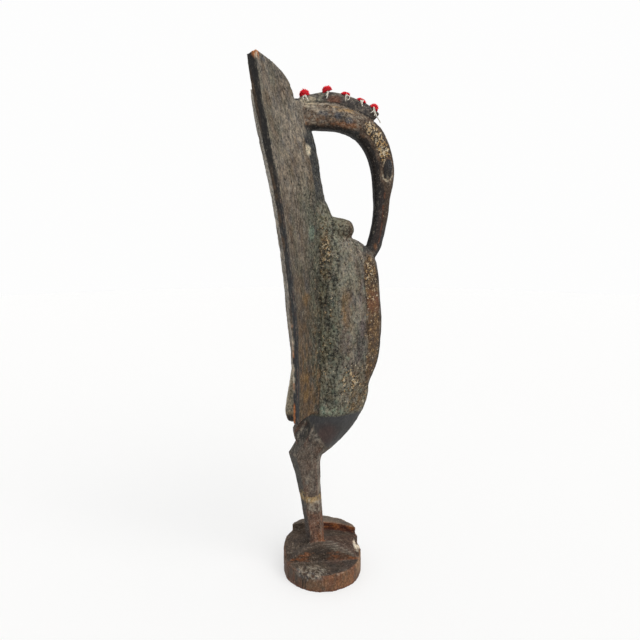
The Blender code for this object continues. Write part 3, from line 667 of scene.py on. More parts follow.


# Colours of the old paint and the bare wood, and of some painted light and shade, as sRGB numbers

paint = {
    "wingTop": (133, 124, 111),
    "wingUpper": (126, 114, 99),
    "wingMiddle": (111, 101, 88),
    "wingLow": (89, 78, 66),
    "wingFoot": (71, 60, 46),
    "dustAndHighlight": (172, 162, 146),
    "olive": (98, 96, 78),
    "umber": (58, 48, 40),
    "rust": (128, 82, 46),
    "orange": (158, 94, 44),
    "charcoal": (50, 48, 46),
    "sootAndShade": (30, 28, 28),
    "neckGrey": (110, 97, 83),
    "neckBrown": (92, 68, 50),
    "slate": (82, 84, 90),
    "ochre": (190, 152, 98),
    "cream": (236, 222, 192),
    "crestGrey": (78, 73, 71),
    "paleGreen": (138, 138, 122),
    "redBrown": (112, 66, 44),
    "flankDark": (50, 52, 43),
    "flankGreen": (106, 107, 90),
    "flankBrown": (98, 78, 58),
    "flankLight": (122, 113, 97),
    "flankFront": (116, 104, 94),
    "turquoise": (122, 142, 124),
    "belly": (53, 51, 49),
    "plum": (72, 52, 48),
    "keelBrown": (88, 65, 46),
    "legBrown": (96, 84, 74),
    "shadedLegGrey": (84, 82, 77),
    "legRed": (118, 74, 52),
    "gold": (176, 146, 96),
    "baseBrown": (76, 62, 52),
    "baseGrey": (106, 94, 82),
    "baseRustAndLight": (134, 84, 52),
    "tan": (146, 114, 84),
    "rawWood": (204, 126, 70),
    "rawPale": (236, 220, 194),
    "tailGreen": (212, 198, 172),
    "litBackGrey": (206, 198, 184),
    "edgeBlack": (30, 29, 29),
    "edgeBlue": (56, 58, 60),
    "eyeDark": (38, 37, 38),
    "beakBrown": (63, 46, 33),
    "beakDark": (33, 28, 27),
    "bronze": (128, 98, 58),
    "flankOlive": (108, 100, 76),
    "mauve": (104, 92, 92),
    "rumpBrown": (86, 62, 50),
    "rimRed": (80, 38, 22),
    "crumbGrey": (146, 148, 130),
    "sand": (202, 174, 132),
}


def mixIn(colour, name, share):
    share = np.clip(share, 0.0, 1.0)[:, None]
    return colour * (1.0 - share) + linear(*paint[name]) * share


def gradient(values, stops):
    places = [stop[0] for stop in stops]
    shades = np.array([linear(*paint[stop[1]]) for stop in stops])
    return np.stack([np.interp(values, places, shades[:, c]) for c in range(3)], 1)


def streaks(flow, size, seed, low=-0.15, high=0.35):
    return ramp(cloud(flow, size, seed, 3), low, high)


def wingColour(points, normals, flow, zone):
    x, y, z = points.T
    share, behind = zone["share"], zone["behind"]
    right = y < 0
    colour = gradient(z + 0.03 * cloud(points, 0.05, 100, 2), [
        (0.52, "wingFoot"), (0.70, "wingLow"), (0.97, "wingMiddle"), (1.17, "wingUpper"), (1.40, "wingTop")])
    high = ramp(z, 0.80, 1.25)
    low = 1.0 - ramp(z, 0.66, 0.92)
    colour = mixIn(colour, "dustAndHighlight", (0.20 + 0.25 * high) * streaks(flow, 0.0060, 101, 0.0, 0.4))
    colour = mixIn(colour, "olive", 0.55 * streaks(flow, 0.017, 102, 0.0, 0.45))
    colour = mixIn(colour, "umber", (0.70 - 0.25 * high) * streaks(flow, 0.0062, 103, 0.0, 0.4))
    colour = mixIn(colour, "flankBrown", 0.55 * streaks(flow, 0.022, 104, 0.0, 0.5))
    colour = mixIn(colour, "slate", 0.35 * streaks(flow, 0.013, 98, 0.1, 0.5))
    root = ramp(share + 0.12 * cloud(points, 0.03, 105, 2), 0.50, 0.90) * band(z, 0.60, 1.15, 0.08)
    colour = mixIn(colour, "flankDark", 0.55 * root)
    colour = mixIn(colour, "flankGreen", 0.60 * root * streaks(flow, 0.009, 106, -0.2, 0.3))
    colour = mixIn(colour, "sootAndShade", 0.55 * ramp(share, 0.92, 0.98) * (1.0 - ramp(z, 1.00, 1.12)) * streaks(flow, 0.012, 97, -0.5, 0.2))
    colour = mixIn(colour, "turquoise", 0.7 * patch(points, (-0.038, -0.064, 1.022), (0.010, 0.014, 0.020), 3, 0.8, 0.5) * right)
    colour = mixIn(colour, "bronze", 0.42 * low * streaks(flow, 0.010, 107, -0.1, 0.3) * ramp(share, 0.10, 0.20))
    colour = mixIn(colour, "sootAndShade", 0.45 * low * streaks(flow, 0.0055, 78, 0.10, 0.35))
    colour = mixIn(colour, "tan", 0.45 * low * streaks(flow, 0.0050, 77, 0.10, 0.35))
    for seed, height in enumerate((0.582, 0.625, 0.845)):
        size = (0.014, 0.026, 0.015)
        colour = mixIn(colour, "bronze", 0.70 * patch(points, (-0.055, -0.103, height), size, 4 + seed, 1.2, 0.6) * right)
    throatSide = ramp(share + 0.012 * cloud(points, 0.02, 68, 2), 0.950, 0.980) * band(z, 1.105, 1.285, 0.015) * (behind < 0.008)
    colour = mixIn(colour, "edgeBlue", 0.85 * throatSide)
    colour = mixIn(colour, "sootAndShade", 0.60 * throatSide * streaks(points, 0.010, 67, -0.1, 0.3))
    topDark = ramp(z + 0.02 * cloud(points, 0.03, 108, 2), 1.385, 1.43) * ramp(share, 0.25, 0.45)
    colour = mixIn(colour, "charcoal", 0.4 * topDark)
    colour = mixIn(colour, "slate", 0.8 * patch(points, (-0.160, -0.156, 1.434), (0.008, 0.010, 0.008), 5) * right)
    # painted light: the back faces of the wings, turned away from the key light, are made pale, most towards the outer
    # edge
    backFace = ramp(behind, 0.45 * zone["thick"], 0.70 * zone["thick"]) * (1.0 - zone["wingEdge"])
    toRoot = ramp(share + 0.08 * cloud(points, 0.05, 82, 2), 0.12, 0.45)
    colour = mixIn(colour, "litBackGrey", (0.90 - 0.55 * toRoot) * backFace)
    upright = flow * (1.0, 1.0, 0.40)
    colour = mixIn(colour, "umber", 0.55 * backFace * streaks(upright, 0.008, 110, 0.0, 0.4))
    colour = mixIn(colour, "flankBrown", 0.50 * backFace * streaks(upright, 0.018, 99, -0.1, 0.4))
    colour = mixIn(colour, "charcoal", 0.45 * backFace * ramp(share, 0.70, 0.95))
    # the edge is made near black: dark paint, and painted shade for the edge face turned away from the light; the dark
    # reaches a little over the front face lower down
    reach = np.interp(z, [0.50, 0.75, 0.95, 1.10, 1.20], [0.090, 0.080, 0.045, 0.030, 0.0]) + 0.014 * cloud(points, 0.03, 96, 2)
    rim = (1.0 - ramp(share - reach, -0.006, 0.010)) * (behind < 0.007) * (z < 1.19)
    edge = np.maximum(zone["wingEdge"], rim)
    colour = mixIn(colour, "edgeBlack", 0.98 * edge)
    colour = mixIn(colour, "edgeBlue", 0.70 * edge * (1.0 - ramp(z, 0.98, 1.16)))
    speckled = edge * band(z, 0.96, 1.17, 0.03) * ramp(behind, 0.003, 0.009)
    colour = mixIn(colour, "flankBrown", 0.80 * speckled * streaks(flow, 0.010, 109, -0.2, 0.3))
    arris = edge * ramp(behind, 0.55 * zone["thick"], 0.80 * zone["thick"])
    colour = mixIn(colour, "flankBrown", 0.60 * arris * streaks(flow, 0.020, 95, -0.3, 0.3))
    return colour


def neckColour(points, normals, flow, zone):
    x, y, z = points.T
    along, offset, out = zone["along"], zone["offset"], zone["out"]
    mirrored = np.stack([x, -out, z], 1)
    colour = np.tile(linear(*paint["neckGrey"]), (len(points), 1))
    colour = mixIn(colour, "neckBrown", 0.70 * streaks(flow, 0.009, 121, -0.2, 0.3))
    low = ramp(-offset, -0.008, 0.012) * (1.0 - ramp(along, 0.20, 0.25))
    colour = mixIn(colour, "rust", 0.40 * low * streaks(points, 0.008, 122, -0.1, 0.3))
    colour = mixIn(colour, "umber", 0.60 * streaks(points, 0.0065, 123, 0.0, 0.3))
    nape = 1.0 - ramp(along, 0.05, 0.13)
    colour = mixIn(colour, "dustAndHighlight", (0.50 + 0.35 * nape) * streaks(flow, 0.0055, 124, 0.1 - 0.15 * nape, 0.4))
    colour = mixIn(colour, "ochre", 0.50 * patch(mirrored, (0.060, -0.03, 1.344), (0.020, 0.04, 0.004), 6, 1.0, 0.5))
    colour = mixIn(colour, "orange", 0.40 * patch(mirrored, (0.062, -0.03, 1.306), (0.036, 0.04, 0.008), 7, 1.6, 0.5))
    for seed, centre in enumerate([(-0.002, -0.030, 1.335), (0.0385, -0.031, 1.329), (0.069, -0.032, 1.3165)]):
        colour = mixIn(colour, "slate", 0.80 * patch(mirrored, centre, (0.012, 0.02, 0.008), 10 + seed, 0.8))
    bend = band(along, 0.175, 0.330, 0.02)
    colour = mixIn(colour, "neckBrown", 0.6 * bend)
    colour = mixIn(colour, "umber", 0.5 * bend * streaks(flow, 0.008, 125, -0.2, 0.3))
    beak = ramp(along, 0.335, 0.37)
    colour = mixIn(colour, "beakBrown", 0.90 * beak)
    path = [0.146, 0.155, 0.162, 0.1655, 0.1675, 0.171, 0.166]
    toMouth = x - np.interp(z, [0.95, 0.982, 1.015, 1.050, 1.090, 1.128, 1.18], path)
    innerHalf = (1.0 - ramp(toMouth, -0.004, 0.001)) * beak
    colour = mixIn(colour, "beakDark", 0.85 * innerHalf)
    colour = mixIn(colour, "plum", 0.40 * innerHalf * band(toMouth, -0.014, -0.006, 0.003) * streaks(flow, 0.012, 126, -0.4, 0.2))
    outerLow = (1.0 - innerHalf) * (1.0 - ramp(z + 0.01 * cloud(points, 0.012, 127, 2), 1.010, 1.055)) * beak
    colour = mixIn(colour, "edgeBlue", 0.80 * outerLow)
    # the inner side of the arch and beak is made near black: black paint, and painted shade under the arch
    inner = ramp(-offset + 0.006 * cloud(points, 0.02, 127, 2), np.interp(along, [0.12, 0.25, 0.40], [0.021, 0.012, 0.005]),
                 np.interp(along, [0.12, 0.25, 0.40], [0.029, 0.019, 0.010]))
    colour = mixIn(colour, "sootAndShade", 0.92 * inner)
    mouth = 1.0 - ramp(lineGap(x, z, lines["mouth"]), 0.0006, 0.0034)
    colour = mixIn(colour, "sootAndShade", 0.80 * mouth)
    colour = mixIn(colour, "redBrown", 0.8 * mouth * ramp(cloud(points, 0.012, 128), -0.4, 0.3))
    tip = 1.0 - ramp(z, 0.975, 1.005)
    colour = mixIn(colour, "charcoal", 0.8 * tip)
    colour = mixIn(colour, "rust", 0.55 * patch(mirrored, (0.148, -0.02, 0.981), (0.005, 0.02, 0.009), 24, 0.8, 0.5))
    crest = zone["crest"]
    colour = mixIn(colour, "crestGrey", 0.90 * crest)
    colour = mixIn(colour, "sootAndShade", 0.6 * crest * streaks(points, 0.010, 129, -0.1, 0.4))
    colour = mixIn(colour, "dustAndHighlight", 0.30 * crest * streaks(points, 0.006, 94, 0.1, 0.4))
    pale = crest * (1.0 - ramp(x + 0.01 * cloud(points, 0.02, 130), -0.002, 0.018))
    colour = mixIn(colour, "paleGreen", 0.58 * pale * streaks(points, 0.010, 131, -0.2, 0.25))
    colour = mixIn(colour, "cream", 0.50 * patch(mirrored, (-0.044, -0.013, 1.366), (0.020, 0.03, 0.012), 20, 1.4, 0.5))
    colour = mixIn(colour, "redBrown", 0.75 * patch(mirrored, (0.031, -0.013, 1.374), (0.016, 0.02, 0.010), 21, 0.7, 0.4) * crest)
    colour = mixIn(colour, "sootAndShade", 0.6 * crest * (1.0 - ramp(zone["crestDepth"], 0.001, 0.004)))
    under = 1.0 - ramp(np.abs(zone["crestHeight"] - 0.0008), 0.001, 0.004)
    colour = mixIn(colour, "sootAndShade", 0.7 * under * ramp(cloud(points, 0.02, 132, 2), -0.6, 0.0) * ramp(x, -0.05, -0.02))
    ledge = 1.0 - ramp(np.abs(zone["crestHeight"] + 0.0055), 0.001, 0.0035)
    colour = mixIn(colour, "dustAndHighlight", 0.40 * ledge * band(x, -0.03, 0.10, 0.02) * ramp(cloud(points, 0.02, 133, 2), -0.3, 0.2))
    second = 1.0 - ramp(np.abs(zone["crestHeight"] + 0.0115 + 0.05 * (x - 0.03)), 0.001, 0.003)
    colour = mixIn(colour, "ochre", 0.45 * second * band(x, 0.00, 0.09, 0.02) * ramp(cloud(points, 0.015, 93, 2), -0.2, 0.2))
    outline = ramp(offset + 0.003 * cloud(points, 0.012, 81, 2), 0.022, 0.030) * ramp(along, 0.17, 0.20)
    colour = mixIn(colour, "umber", 0.85 * outline)
    eye = eyeGap(points)
    onSide = ramp(out, 0.006, 0.012)
    aroundEye = 1.0 - ramp(eye, 1.10, 1.35)
    colour = mixIn(colour, "neckBrown", 0.8 * aroundEye * onSide)
    ring = band(eye, 1.08, 1.19, 0.05) * onSide * ramp(np.maximum(1.176 - z, 0.169 - x), -0.003, 0.003)
    colour = mixIn(colour, "cream", 0.80 * ring * ramp(cloud(points, 0.008, 134, 2), -0.5, 0.0))
    colour = mixIn(colour, "eyeDark", 0.95 * (1.0 - ramp(eye, 0.94, 1.06)) * onSide)
    # painted highlight: a lighter slate spot at the upper right of the dark eye stands for its glint
    colour = mixIn(colour, "slate", 0.25 * patch(mirrored, (0.182, -0.03, 1.200), (0.005, 0.02, 0.012), 22, 0.3))
    return colour


def bodyColour(points, normals, flow, zone):
    x, y, z = points.T
    mirrored = np.stack([x, -zone["out"], z], 1)
    colour = gradient(x + 0.012 * cloud(points, 0.05, 140, 3), [
        (-0.03, "flankDark"), (-0.010, "flankOlive"), (0.030, "flankGreen"), (0.052, "flankLight"), (0.096, "flankLight"),
        (0.114, "flankFront"), (0.125, "flankBrown")])
    low = 1.0 - ramp(z + 0.03 * cloud(points, 0.05, 139, 2), 0.60, 0.72)
    colour = mixIn(colour, "flankGreen", 0.5 * low)
    colour = mixIn(colour, "flankBrown", (0.45 + 0.10 * low) * streaks(flow, 0.014, 142, -0.1, 0.35))
    front = ramp(x, 0.030, 0.062)
    colour = mixIn(colour, "flankDark", (0.60 - 0.25 * front) * streaks(flow, 0.0065, 143, 0.0, 0.35))
    colour = mixIn(colour, "sootAndShade", (0.85 - 0.60 * front) * streaks(flow, 0.010, 84, 0.10, 0.34))
    colour = mixIn(colour, "paleGreen", 0.45 * front * streaks(flow, 0.020, 92, -0.1, 0.35))
    colour = mixIn(colour, "dustAndHighlight", (0.45 + 0.05 * front) * streaks(flow, 0.0055, 144, 0.10, 0.40))
    colour = mixIn(colour, "crumbGrey", (0.55 - 0.20 * front) * streaks(flow, 0.008, 80, 0.15, 0.40))
    colour = mixIn(colour, "turquoise", 0.35 * ramp(cloud(points, 0.012, 145, 2), 0.30, 0.55))
    colour = mixIn(colour, "mauve", 0.50 * front * streaks(flow, 0.016, 70, -0.1, 0.3))
    colour = mixIn(colour, "umber", 0.55 * front * streaks(flow, 0.009, 69, 0.05, 0.35) * (1.0 - 0.5 * ramp(z, 0.80, 0.90)))
    colour = mixIn(colour, "sootAndShade", 0.55 * patch(mirrored, (0.104, -0.05, 0.700), (0.020, 0.04, 0.030), 38, 1.2, 0.6))
    bend = 0.004 * np.sin(z * 40.0) + 0.002 * cloud(points, 0.02, 141, 2)
    for place, lowZ, highZ, name, share in ((0.008, 0.76, 0.93, "sootAndShade", 0.8), (-0.014, 0.60, 1.02, "sootAndShade", 0.5),
                                            (0.042, 0.66, 0.95, "sootAndShade", 0.55), (0.048, 0.86, 0.95, "dustAndHighlight", 0.55),
                                            (0.056, 0.76, 0.86, "bronze", 0.6), (0.104, 0.64, 0.93, "mauve", 0.55),
                                            (0.024, 0.58, 0.70, "sootAndShade", 0.5), (0.084, 0.78, 0.88, "dustAndHighlight", 0.5)):
        line = 1.0 - ramp(np.abs(x + bend - place), 0.0015, 0.0065)
        colour = mixIn(colour, name, share * line * band(z, lowZ, highZ, 0.03) * ramp(cloud(flow, 0.010, 150, 2), -0.4, 0.2))
    golden = patch(mirrored, (0.000, -0.050, 0.965), (0.018, 0.03, 0.070), 30, 0.9)
    colour = mixIn(colour, "sootAndShade", 0.55 * golden * streaks(flow, 0.009, 79, 0.0, 0.3))
    colour = mixIn(colour, "bronze", 0.60 * golden * streaks(flow, 0.007, 146, -0.1, 0.3))
    colour = mixIn(colour, "bronze", 0.45 * patch(mirrored, (0.060, -0.06, 0.815), (0.014, 0.03, 0.050), 31, 1.0, 0.5))
    colour = mixIn(colour, "flankBrown", 0.55 * patch(mirrored, (0.098, -0.05, 0.610), (0.040, 0.05, 0.040), 32, 0.8))
    drip = streaks(flow, 0.007, 91, -0.1, 0.3) * band(z, 0.515, 0.640, 0.02) * band(x, -0.012, 0.045, 0.012)
    colour = mixIn(colour, "paleGreen", 0.60 * drip)
    lowFront = ramp(x, 0.055, 0.085) * (1.0 - ramp(z, 0.56, 0.60)) * ramp(z, 0.505, 0.512)
    colour = mixIn(colour, "bronze", 0.6 * lowFront * streaks(points, 0.010, 148, -0.2, 0.3))
    row = band(z, 0.509, 0.532, 0.003) * band(x, -0.02, 0.062, 0.008) * ramp(cloud(points, 0.009, 149, 3), -0.1, 0.2)
    colour = mixIn(colour, "turquoise", 0.75 * row)
    knob = patch(points, (0.052, 0.0, 1.030), (0.042, 0.048, 0.040), 33, 0.2)
    colour = mixIn(colour, "flankOlive", 0.6 * knob * ramp(x, 0.010, 0.030))
    colour = mixIn(colour, "umber", 0.35 * knob * streaks(points, 0.011, 76, -0.3, 0.3))
    # painted shade: the front side of the knob is made darker brown, away from the light
    colour = mixIn(colour, "neckBrown", 0.75 * knob * ramp(x + 0.008 * cloud(points, 0.015, 90, 2), 0.058, 0.076))
    crease = 1.0 - ramp(np.abs(x - 0.0245 - 0.10 * (z - 1.035)), 0.0010, 0.0050)
    colour = mixIn(colour, "sootAndShade", 0.75 * crease * band(z, 1.010, 1.056, 0.006) * (zone["out"] > 0.012))
    keel = zone["keel"]
    colour = mixIn(colour, "keelBrown", 0.92 * ramp(keel + 0.6 * cloud(points, 0.012, 86, 2) * (1.0 - keel), 0.3, 0.9))
    colour = mixIn(colour, "umber", 0.75 * keel * streaks(points, 0.008, 151, -0.1, 0.30))
    colour = mixIn(colour, "redBrown", 0.60 * keel * patch(mirrored, (0.140, -0.02, 0.825), (0.030, 0.05, 0.030), 36, 1.0))
    colour = mixIn(colour, "bronze", 0.30 * keel * streaks(points, 0.014, 85, -0.1, 0.3))
    colour = mixIn(colour, "ochre", 0.35 * keel * streaks(points, 0.007, 152, 0.15, 0.45))
    colour = mixIn(colour, "sootAndShade", 0.8 * keel * (1.0 - ramp(zone["keelRim"], 0.0040, 0.0110)))
    throat = ramp(z + 0.02 * cloud(points, 0.03, 89, 2), 1.080, 1.13)
    colour = mixIn(colour, "edgeBlue", 0.85 * throat)
    colour = mixIn(colour, "sootAndShade", 0.6 * throat * streaks(points, 0.010, 88, -0.1, 0.3))
    colour = mixIn(colour, "slate", 0.5 * throat * streaks(points, 0.009, 153, 0.1, 0.4))
    belly = zone["lowBelly"]
    colour = mixIn(colour, "belly", belly)
    colour = mixIn(colour, "plum", 0.65 * belly * patch(mirrored, (0.010, -0.05, 0.446), (0.030, 0.05, 0.030), 35, 0.5, 0.5))
    colour = mixIn(colour, "slate", 0.25 * belly * ramp(z, 0.46, 0.50))
    # painted shade: the lower belly is darkened along its front underside
    nose = np.interp(z, [0.364, 0.406, 0.442, 0.478, 0.514], [-0.004, 0.044, 0.077, 0.103, 0.121])
    colour = mixIn(colour, "sootAndShade", 0.5 * belly * ramp(x - nose, -0.010, -0.004))
    tail = zone["tail"]
    colour = mixIn(colour, "tailGreen", 0.85 * tail)
    colour = mixIn(colour, "umber", 0.6 * tail * streaks(flow, 0.009, 155, -0.05, 0.35))
    colour = mixIn(colour, "ochre", 0.6 * tail * band(z, 0.484, 0.512, 0.006) * streaks(points, 0.009, 87, -0.4, 0.1))
    colour = mixIn(colour, "sootAndShade", 0.8 * tail * (1.0 - ramp(z, 0.478, 0.485)))
    return colour


def legColour(points, normals, flow, zone):
    x, y, z = points.T
    colour = np.tile(linear(*paint["legBrown"]), (len(points), 1))
    colour = mixIn(colour, "umber", 0.60 * streaks(points * (1, 1, 0.6), 0.010, 161, -0.05, 0.35))
    colour = mixIn(colour, "dustAndHighlight", 0.40 * streaks(points * (1, 1, 0.6), 0.007, 162, 0.05, 0.4))
    colour = mixIn(colour, "legRed", 0.25 * streaks(flow, 0.016, 163, 0.0, 0.4))
    backX, frontX = rowAt(lines["leg"], z)
    depth = (x - backX) / (frontX - backX) + 0.04 * cloud(points, 0.015, 164, 2)
    # painted shade: the back facet of the leg is made grey, and darker lower down, as the side turned away from the
    # light
    back = 1.0 - ramp(depth, 0.14, 0.24)
    colour = mixIn(colour, "shadedLegGrey", 0.80 * back)
    colour = mixIn(colour, "charcoal", 0.50 * back * (1.0 - ramp(z, 0.30, 0.38)))
    # painted highlight: a pale strip near the front edge of the shank, where it catches the light
    frontHighlight = band(depth, 0.80, 0.95, 0.03) * band(z, 0.262, 0.385, 0.012)
    colour = mixIn(colour, "dustAndHighlight", 0.65 * frontHighlight * streaks(points * (1, 1, 0.4), 0.008, 160, -0.3, 0.3))
    thigh = ramp(z, 0.40, 0.45)
    colour = mixIn(colour, "belly", 0.80 * thigh)
    scuffs = patch(points, (-0.020, -0.050, 0.452), (0.036, 0.03, 0.036), 40, 0.8)
    colour = mixIn(colour, "dustAndHighlight", 0.42 * scuffs * streaks(points, 0.008, 158, 0.0, 0.3))
    low = 1.0 - ramp(z + 0.012 * cloud(points, 0.02, 165, 2), 0.188, 0.212)
    colour = mixIn(colour, "legRed", 0.60 * low)
    colour = mixIn(colour, "orange", 0.40 * low * ramp(depth, 0.50, 0.80) * streaks(flow, 0.010, 166, -0.1, 0.3))
    colour = mixIn(colour, "umber", 0.60 * low * streaks(points * (1, 1, 0.35), 0.008, 167, -0.1, 0.3))
    # painted shade on the back facet of the lower shank
    colour = mixIn(colour, "charcoal", 0.80 * low * back)
    # painted shadow: the foot of the leg is darkened where it stands on the base
    foot = 1.0 - ramp(z, 0.096, 0.108)
    colour = mixIn(colour, "umber", 0.60 * foot)
    middle = 0.2475 - 0.007 * (1.0 - ((x + 0.035) / 0.030)**2) + 0.0015 * cloud(points, 0.012, 168, 2)
    ring = 1.0 - ramp(np.abs(z - middle), 0.0075, 0.0105)
    colour = mixIn(colour, "gold", 0.85 * ring * ramp(cloud(points, 0.007, 169, 3), -0.6, 0.05))
    colour = mixIn(colour, "cream", 0.45 * ring * ramp(cloud(points, 0.006, 157, 2), 0.15, 0.45))
    above = 1.0 - ramp(np.abs(z - middle - 0.0115), 0.001, 0.0035)
    below = 1.0 - ramp(np.abs(z - middle + 0.0115), 0.001, 0.0035)
    colour = mixIn(colour, "umber", 0.75 * np.maximum(above, 0.8 * below))
    colour = mixIn(colour, "gold", 0.7 * patch(points, (-0.057, -0.020, 0.2640), (0.010, 0.02, 0.0035), 42, 0.5))
    scuffed = patch(points, (-0.018, -0.028, 0.222), (0.024, 0.03, 0.018), 41, 0.8)
    colour = mixIn(colour, "dustAndHighlight", 0.85 * scuffed * streaks(points * (1, 1, 0.6), 0.006, 170, -0.1, 0.2))
    rump = zone["rump"]
    colour = mixIn(colour, "rumpBrown", 0.85 * rump)
    colour = mixIn(colour, "umber", 0.6 * rump * streaks(points, 0.009, 171, -0.1, 0.3))
    return colour


def baseColour(points, normals, flow, zone):
    x, y, z = points.T
    side = zone["side"]
    up = ramp(normals[:, 2], 0.45, 0.80)
    rings = np.stack([np.hypot(x - 0.012, 0.8 * (y + 0.030)), np.zeros(len(x)), 0.10 * np.arctan2(y + 0.030, x - 0.012)], 1)
    colour = np.tile(linear(*paint["baseBrown"]), (len(points), 1))
    colour = mixIn(colour, "baseGrey", 0.45 * streaks(rings, 0.007, 181, -0.1, 0.5))
    colour = mixIn(colour, "umber", 0.45 * streaks(points, 0.030, 182, -0.1, 0.5))
    colour = mixIn(colour, "redBrown", 0.25 * streaks(points, 0.040, 180, 0.0, 0.5) * ramp(x, -0.02, 0.04))
    colour = mixIn(colour, "umber", 0.55 * ramp(x, 0.0, 0.03) * ramp(y, -0.03, 0.0) * (1.0 - side))
    turn = np.degrees(np.arctan2(-y, x))    # 90 towards the camera, 0 to the right
    # partly painted light: the rust streaks on the side are heaviest on the right front, where the light falls
    warm = (1.0 - ramp(np.abs(turn - 45.0), 28.0, 60.0)) * side
    colour = mixIn(colour, "baseRustAndLight", (0.30 * side + 0.50 * warm) * streaks(flow, 0.012, 183, -0.4, 0.3))
    colour = mixIn(colour, "umber", 0.60 * side * streaks(flow, 0.0065, 184, 0.0, 0.35))
    colour = mixIn(colour, "redBrown", 0.45 * side * streaks(flow, 0.020, 179, -0.1, 0.4))
    colour = mixIn(colour, "tan", 0.38 * side * patch(points, (-0.040, -0.110, 0.020), (0.032, 0.03, 0.020), 50, 0.9, 0.5))
    colour = mixIn(colour, "tan", 0.80 * side * patch(points, (0.108, -0.034, 0.040), (0.030, 0.036, 0.032), 51, 0.6))
    colour = mixIn(colour, "tan", 0.45 * side * patch(points, (0.064, -0.100, 0.024), (0.050, 0.03, 0.030), 53, 1.2, 0.5))
    colour = mixIn(colour, "orange", 0.22 * side * patch(points, (0.064, -0.100, 0.020), (0.050, 0.03, 0.030), 53, 1.2, 0.5))
    colour = mixIn(colour, "redBrown", 0.8 * side * (1.0 - ramp(z + 0.004 * cloud(points, 0.02, 178, 2), 0.002, 0.009)))
    # painted shade: the left front of the side is made greyer
    colour = mixIn(colour, "baseGrey", 0.45 * side * ramp(turn, 118.0, 140.0) * streaks(flow, 0.018, 177, -0.3, 0.3))
    ridgeFace = (1.0 - ramp(np.abs(y + 0.0455), 0.0025, 0.0045)) * ramp(z, 0.053, 0.056) * (1.0 - up) * (1.0 - side)
    wornTop = ramp(z + 0.004 * cloud(points, 0.02, 83, 2), *[np.interp(x, [-0.09, -0.02, 0.02, 0.09], row) for row in (
        [0.066, 0.097, 0.088, 0.058], [0.071, 0.102, 0.096, 0.066])])
    ridgeFace = ridgeFace * (1.0 - wornTop)
    ends = ramp(np.abs(x + 0.008) + 0.030 * cloud(points * (1, 1, 1.6), 0.014, 185, 2), 0.022, 0.052)
    across = points * (0.30, 1.0, 1.7)
    colour = mixIn(colour, "umber", 0.50 * ridgeFace)
    colour = mixIn(colour, "baseRustAndLight", 0.90 * ridgeFace * ends * streaks(across, 0.009, 176, -0.3, 0.2))
    colour = mixIn(colour, "sootAndShade", 0.55 * ridgeFace * streaks(across, 0.007, 186, 0.0, 0.3))
    colour = mixIn(colour, "orange", 0.18 * ridgeFace * ramp(np.abs(x), 0.040, 0.070) * streaks(across, 0.006, 175, 0.0, 0.3))
    inward = ramp(-normals[:, 1], 0.3, 0.7) * ramp(y, 0.020, 0.035) * ramp(z, 0.080, 0.088) * (1.0 - side)
    right = ramp(x + 0.01 * cloud(points, 0.02, 187, 2), -0.015, 0.015)
    colour = mixIn(colour, "rimRed", 0.85 * inward * right)
    colour = mixIn(colour, "orange", 0.60 * inward * right * streaks(across, 0.007, 188, 0.05, 0.3))
    colour = mixIn(colour, "sootAndShade", 0.60 * inward * right * (1.0 - ramp(z, 0.088, 0.097)))
    colour = mixIn(colour, "baseGrey", 0.25 * inward * (1.0 - right))
    rimTop = up * ramp(y, 0.030, 0.050) * ramp(z, 0.098, 0.104)
    colour = mixIn(colour, "baseGrey", 0.60 * rimTop)
    colour = mixIn(colour, "tan", 0.35 * rimTop * (1.0 - ramp(toEdge, 0.002, 0.009)) * ramp(x, -0.02, 0.03))
    # the worn grain lines along the top of the ridge, palest towards the right
    ridgeTop = np.maximum(up * band(y, -0.048, 0.002, 0.004) * ramp(z, 0.062, 0.070), wornTop * (1.0 - ramp(y, -0.042, -0.036)) * (1.0 - side))
    comb = 0.5 + 0.5 * np.sin((z + 0.42 * (y + 0.045)) * 900.0 + 2.2 * cloud(points, 0.03, 174, 2))
    colour = mixIn(colour, "dustAndHighlight", 0.50 * ridgeTop * comb * (0.15 + 0.85 * ramp(x, -0.01, 0.03)) * streaks(points, 0.016, 189, -0.5, 0.2))
    colour = mixIn(colour, "umber", 0.35 * ridgeTop * (1.0 - comb))
    leftTop = up * (1.0 - side) * (1.0 - ramp(x + 0.01 * cloud(points, 0.02, 75, 2), -0.035, -0.015)) * band(y, -0.045, 0.030, 0.006)
    colour = mixIn(colour, "umber", 0.35 * leftTop * ramp(-x, 0.050, 0.075))
    rightTop = up * (1.0 - side) * ramp(x, 0.005, 0.025) * band(y, -0.043, 0.032, 0.006) * (1.0 - ramp(z, 0.094, 0.100))
    colour = mixIn(colour, "redBrown", 0.40 * rightTop)
    colour = mixIn(colour, "umber", 0.60 * rightTop)
    lowFloor = up * (1.0 - ramp(y, -0.049, -0.046)) * (1.0 - side)
    colour = mixIn(colour, "edgeBlue", 0.35 * lowFloor * ramp(x + 0.02 * cloud(points, 0.03, 173, 2), -0.015, 0.020))
    colour = mixIn(colour, "baseGrey", 0.40 * lowFloor * (1.0 - ramp(x, -0.020, 0.020)))
    colour = mixIn(colour, "umber", 0.55 * lowFloor * streaks(points, 0.010, 191, 0.0, 0.35))
    rough = patch(points, (-0.045, -0.092, 0.050), (0.050, 0.030, 0.020), 1)
    colour = mixIn(colour, "umber", 0.50 * rough)
    colour = mixIn(colour, "dustAndHighlight", 0.62 * rough * ramp(np.abs(cloud(points, 0.012, 192, 3)), 0.20, 0.05))
    colour = mixIn(colour, "slate", 0.50 * rough * ramp(cloud(points, 0.013, 193, 2), 0.15, 0.40))
    front = side * (y < 0)
    crack = np.minimum(np.abs(x + 0.0690 - 0.003 * np.sin(z * 90.0)),
                       np.abs(x + 0.0580 + 0.002 * np.sin(z * 120.0)) + 0.03 * ramp(z, 0.030, 0.045))
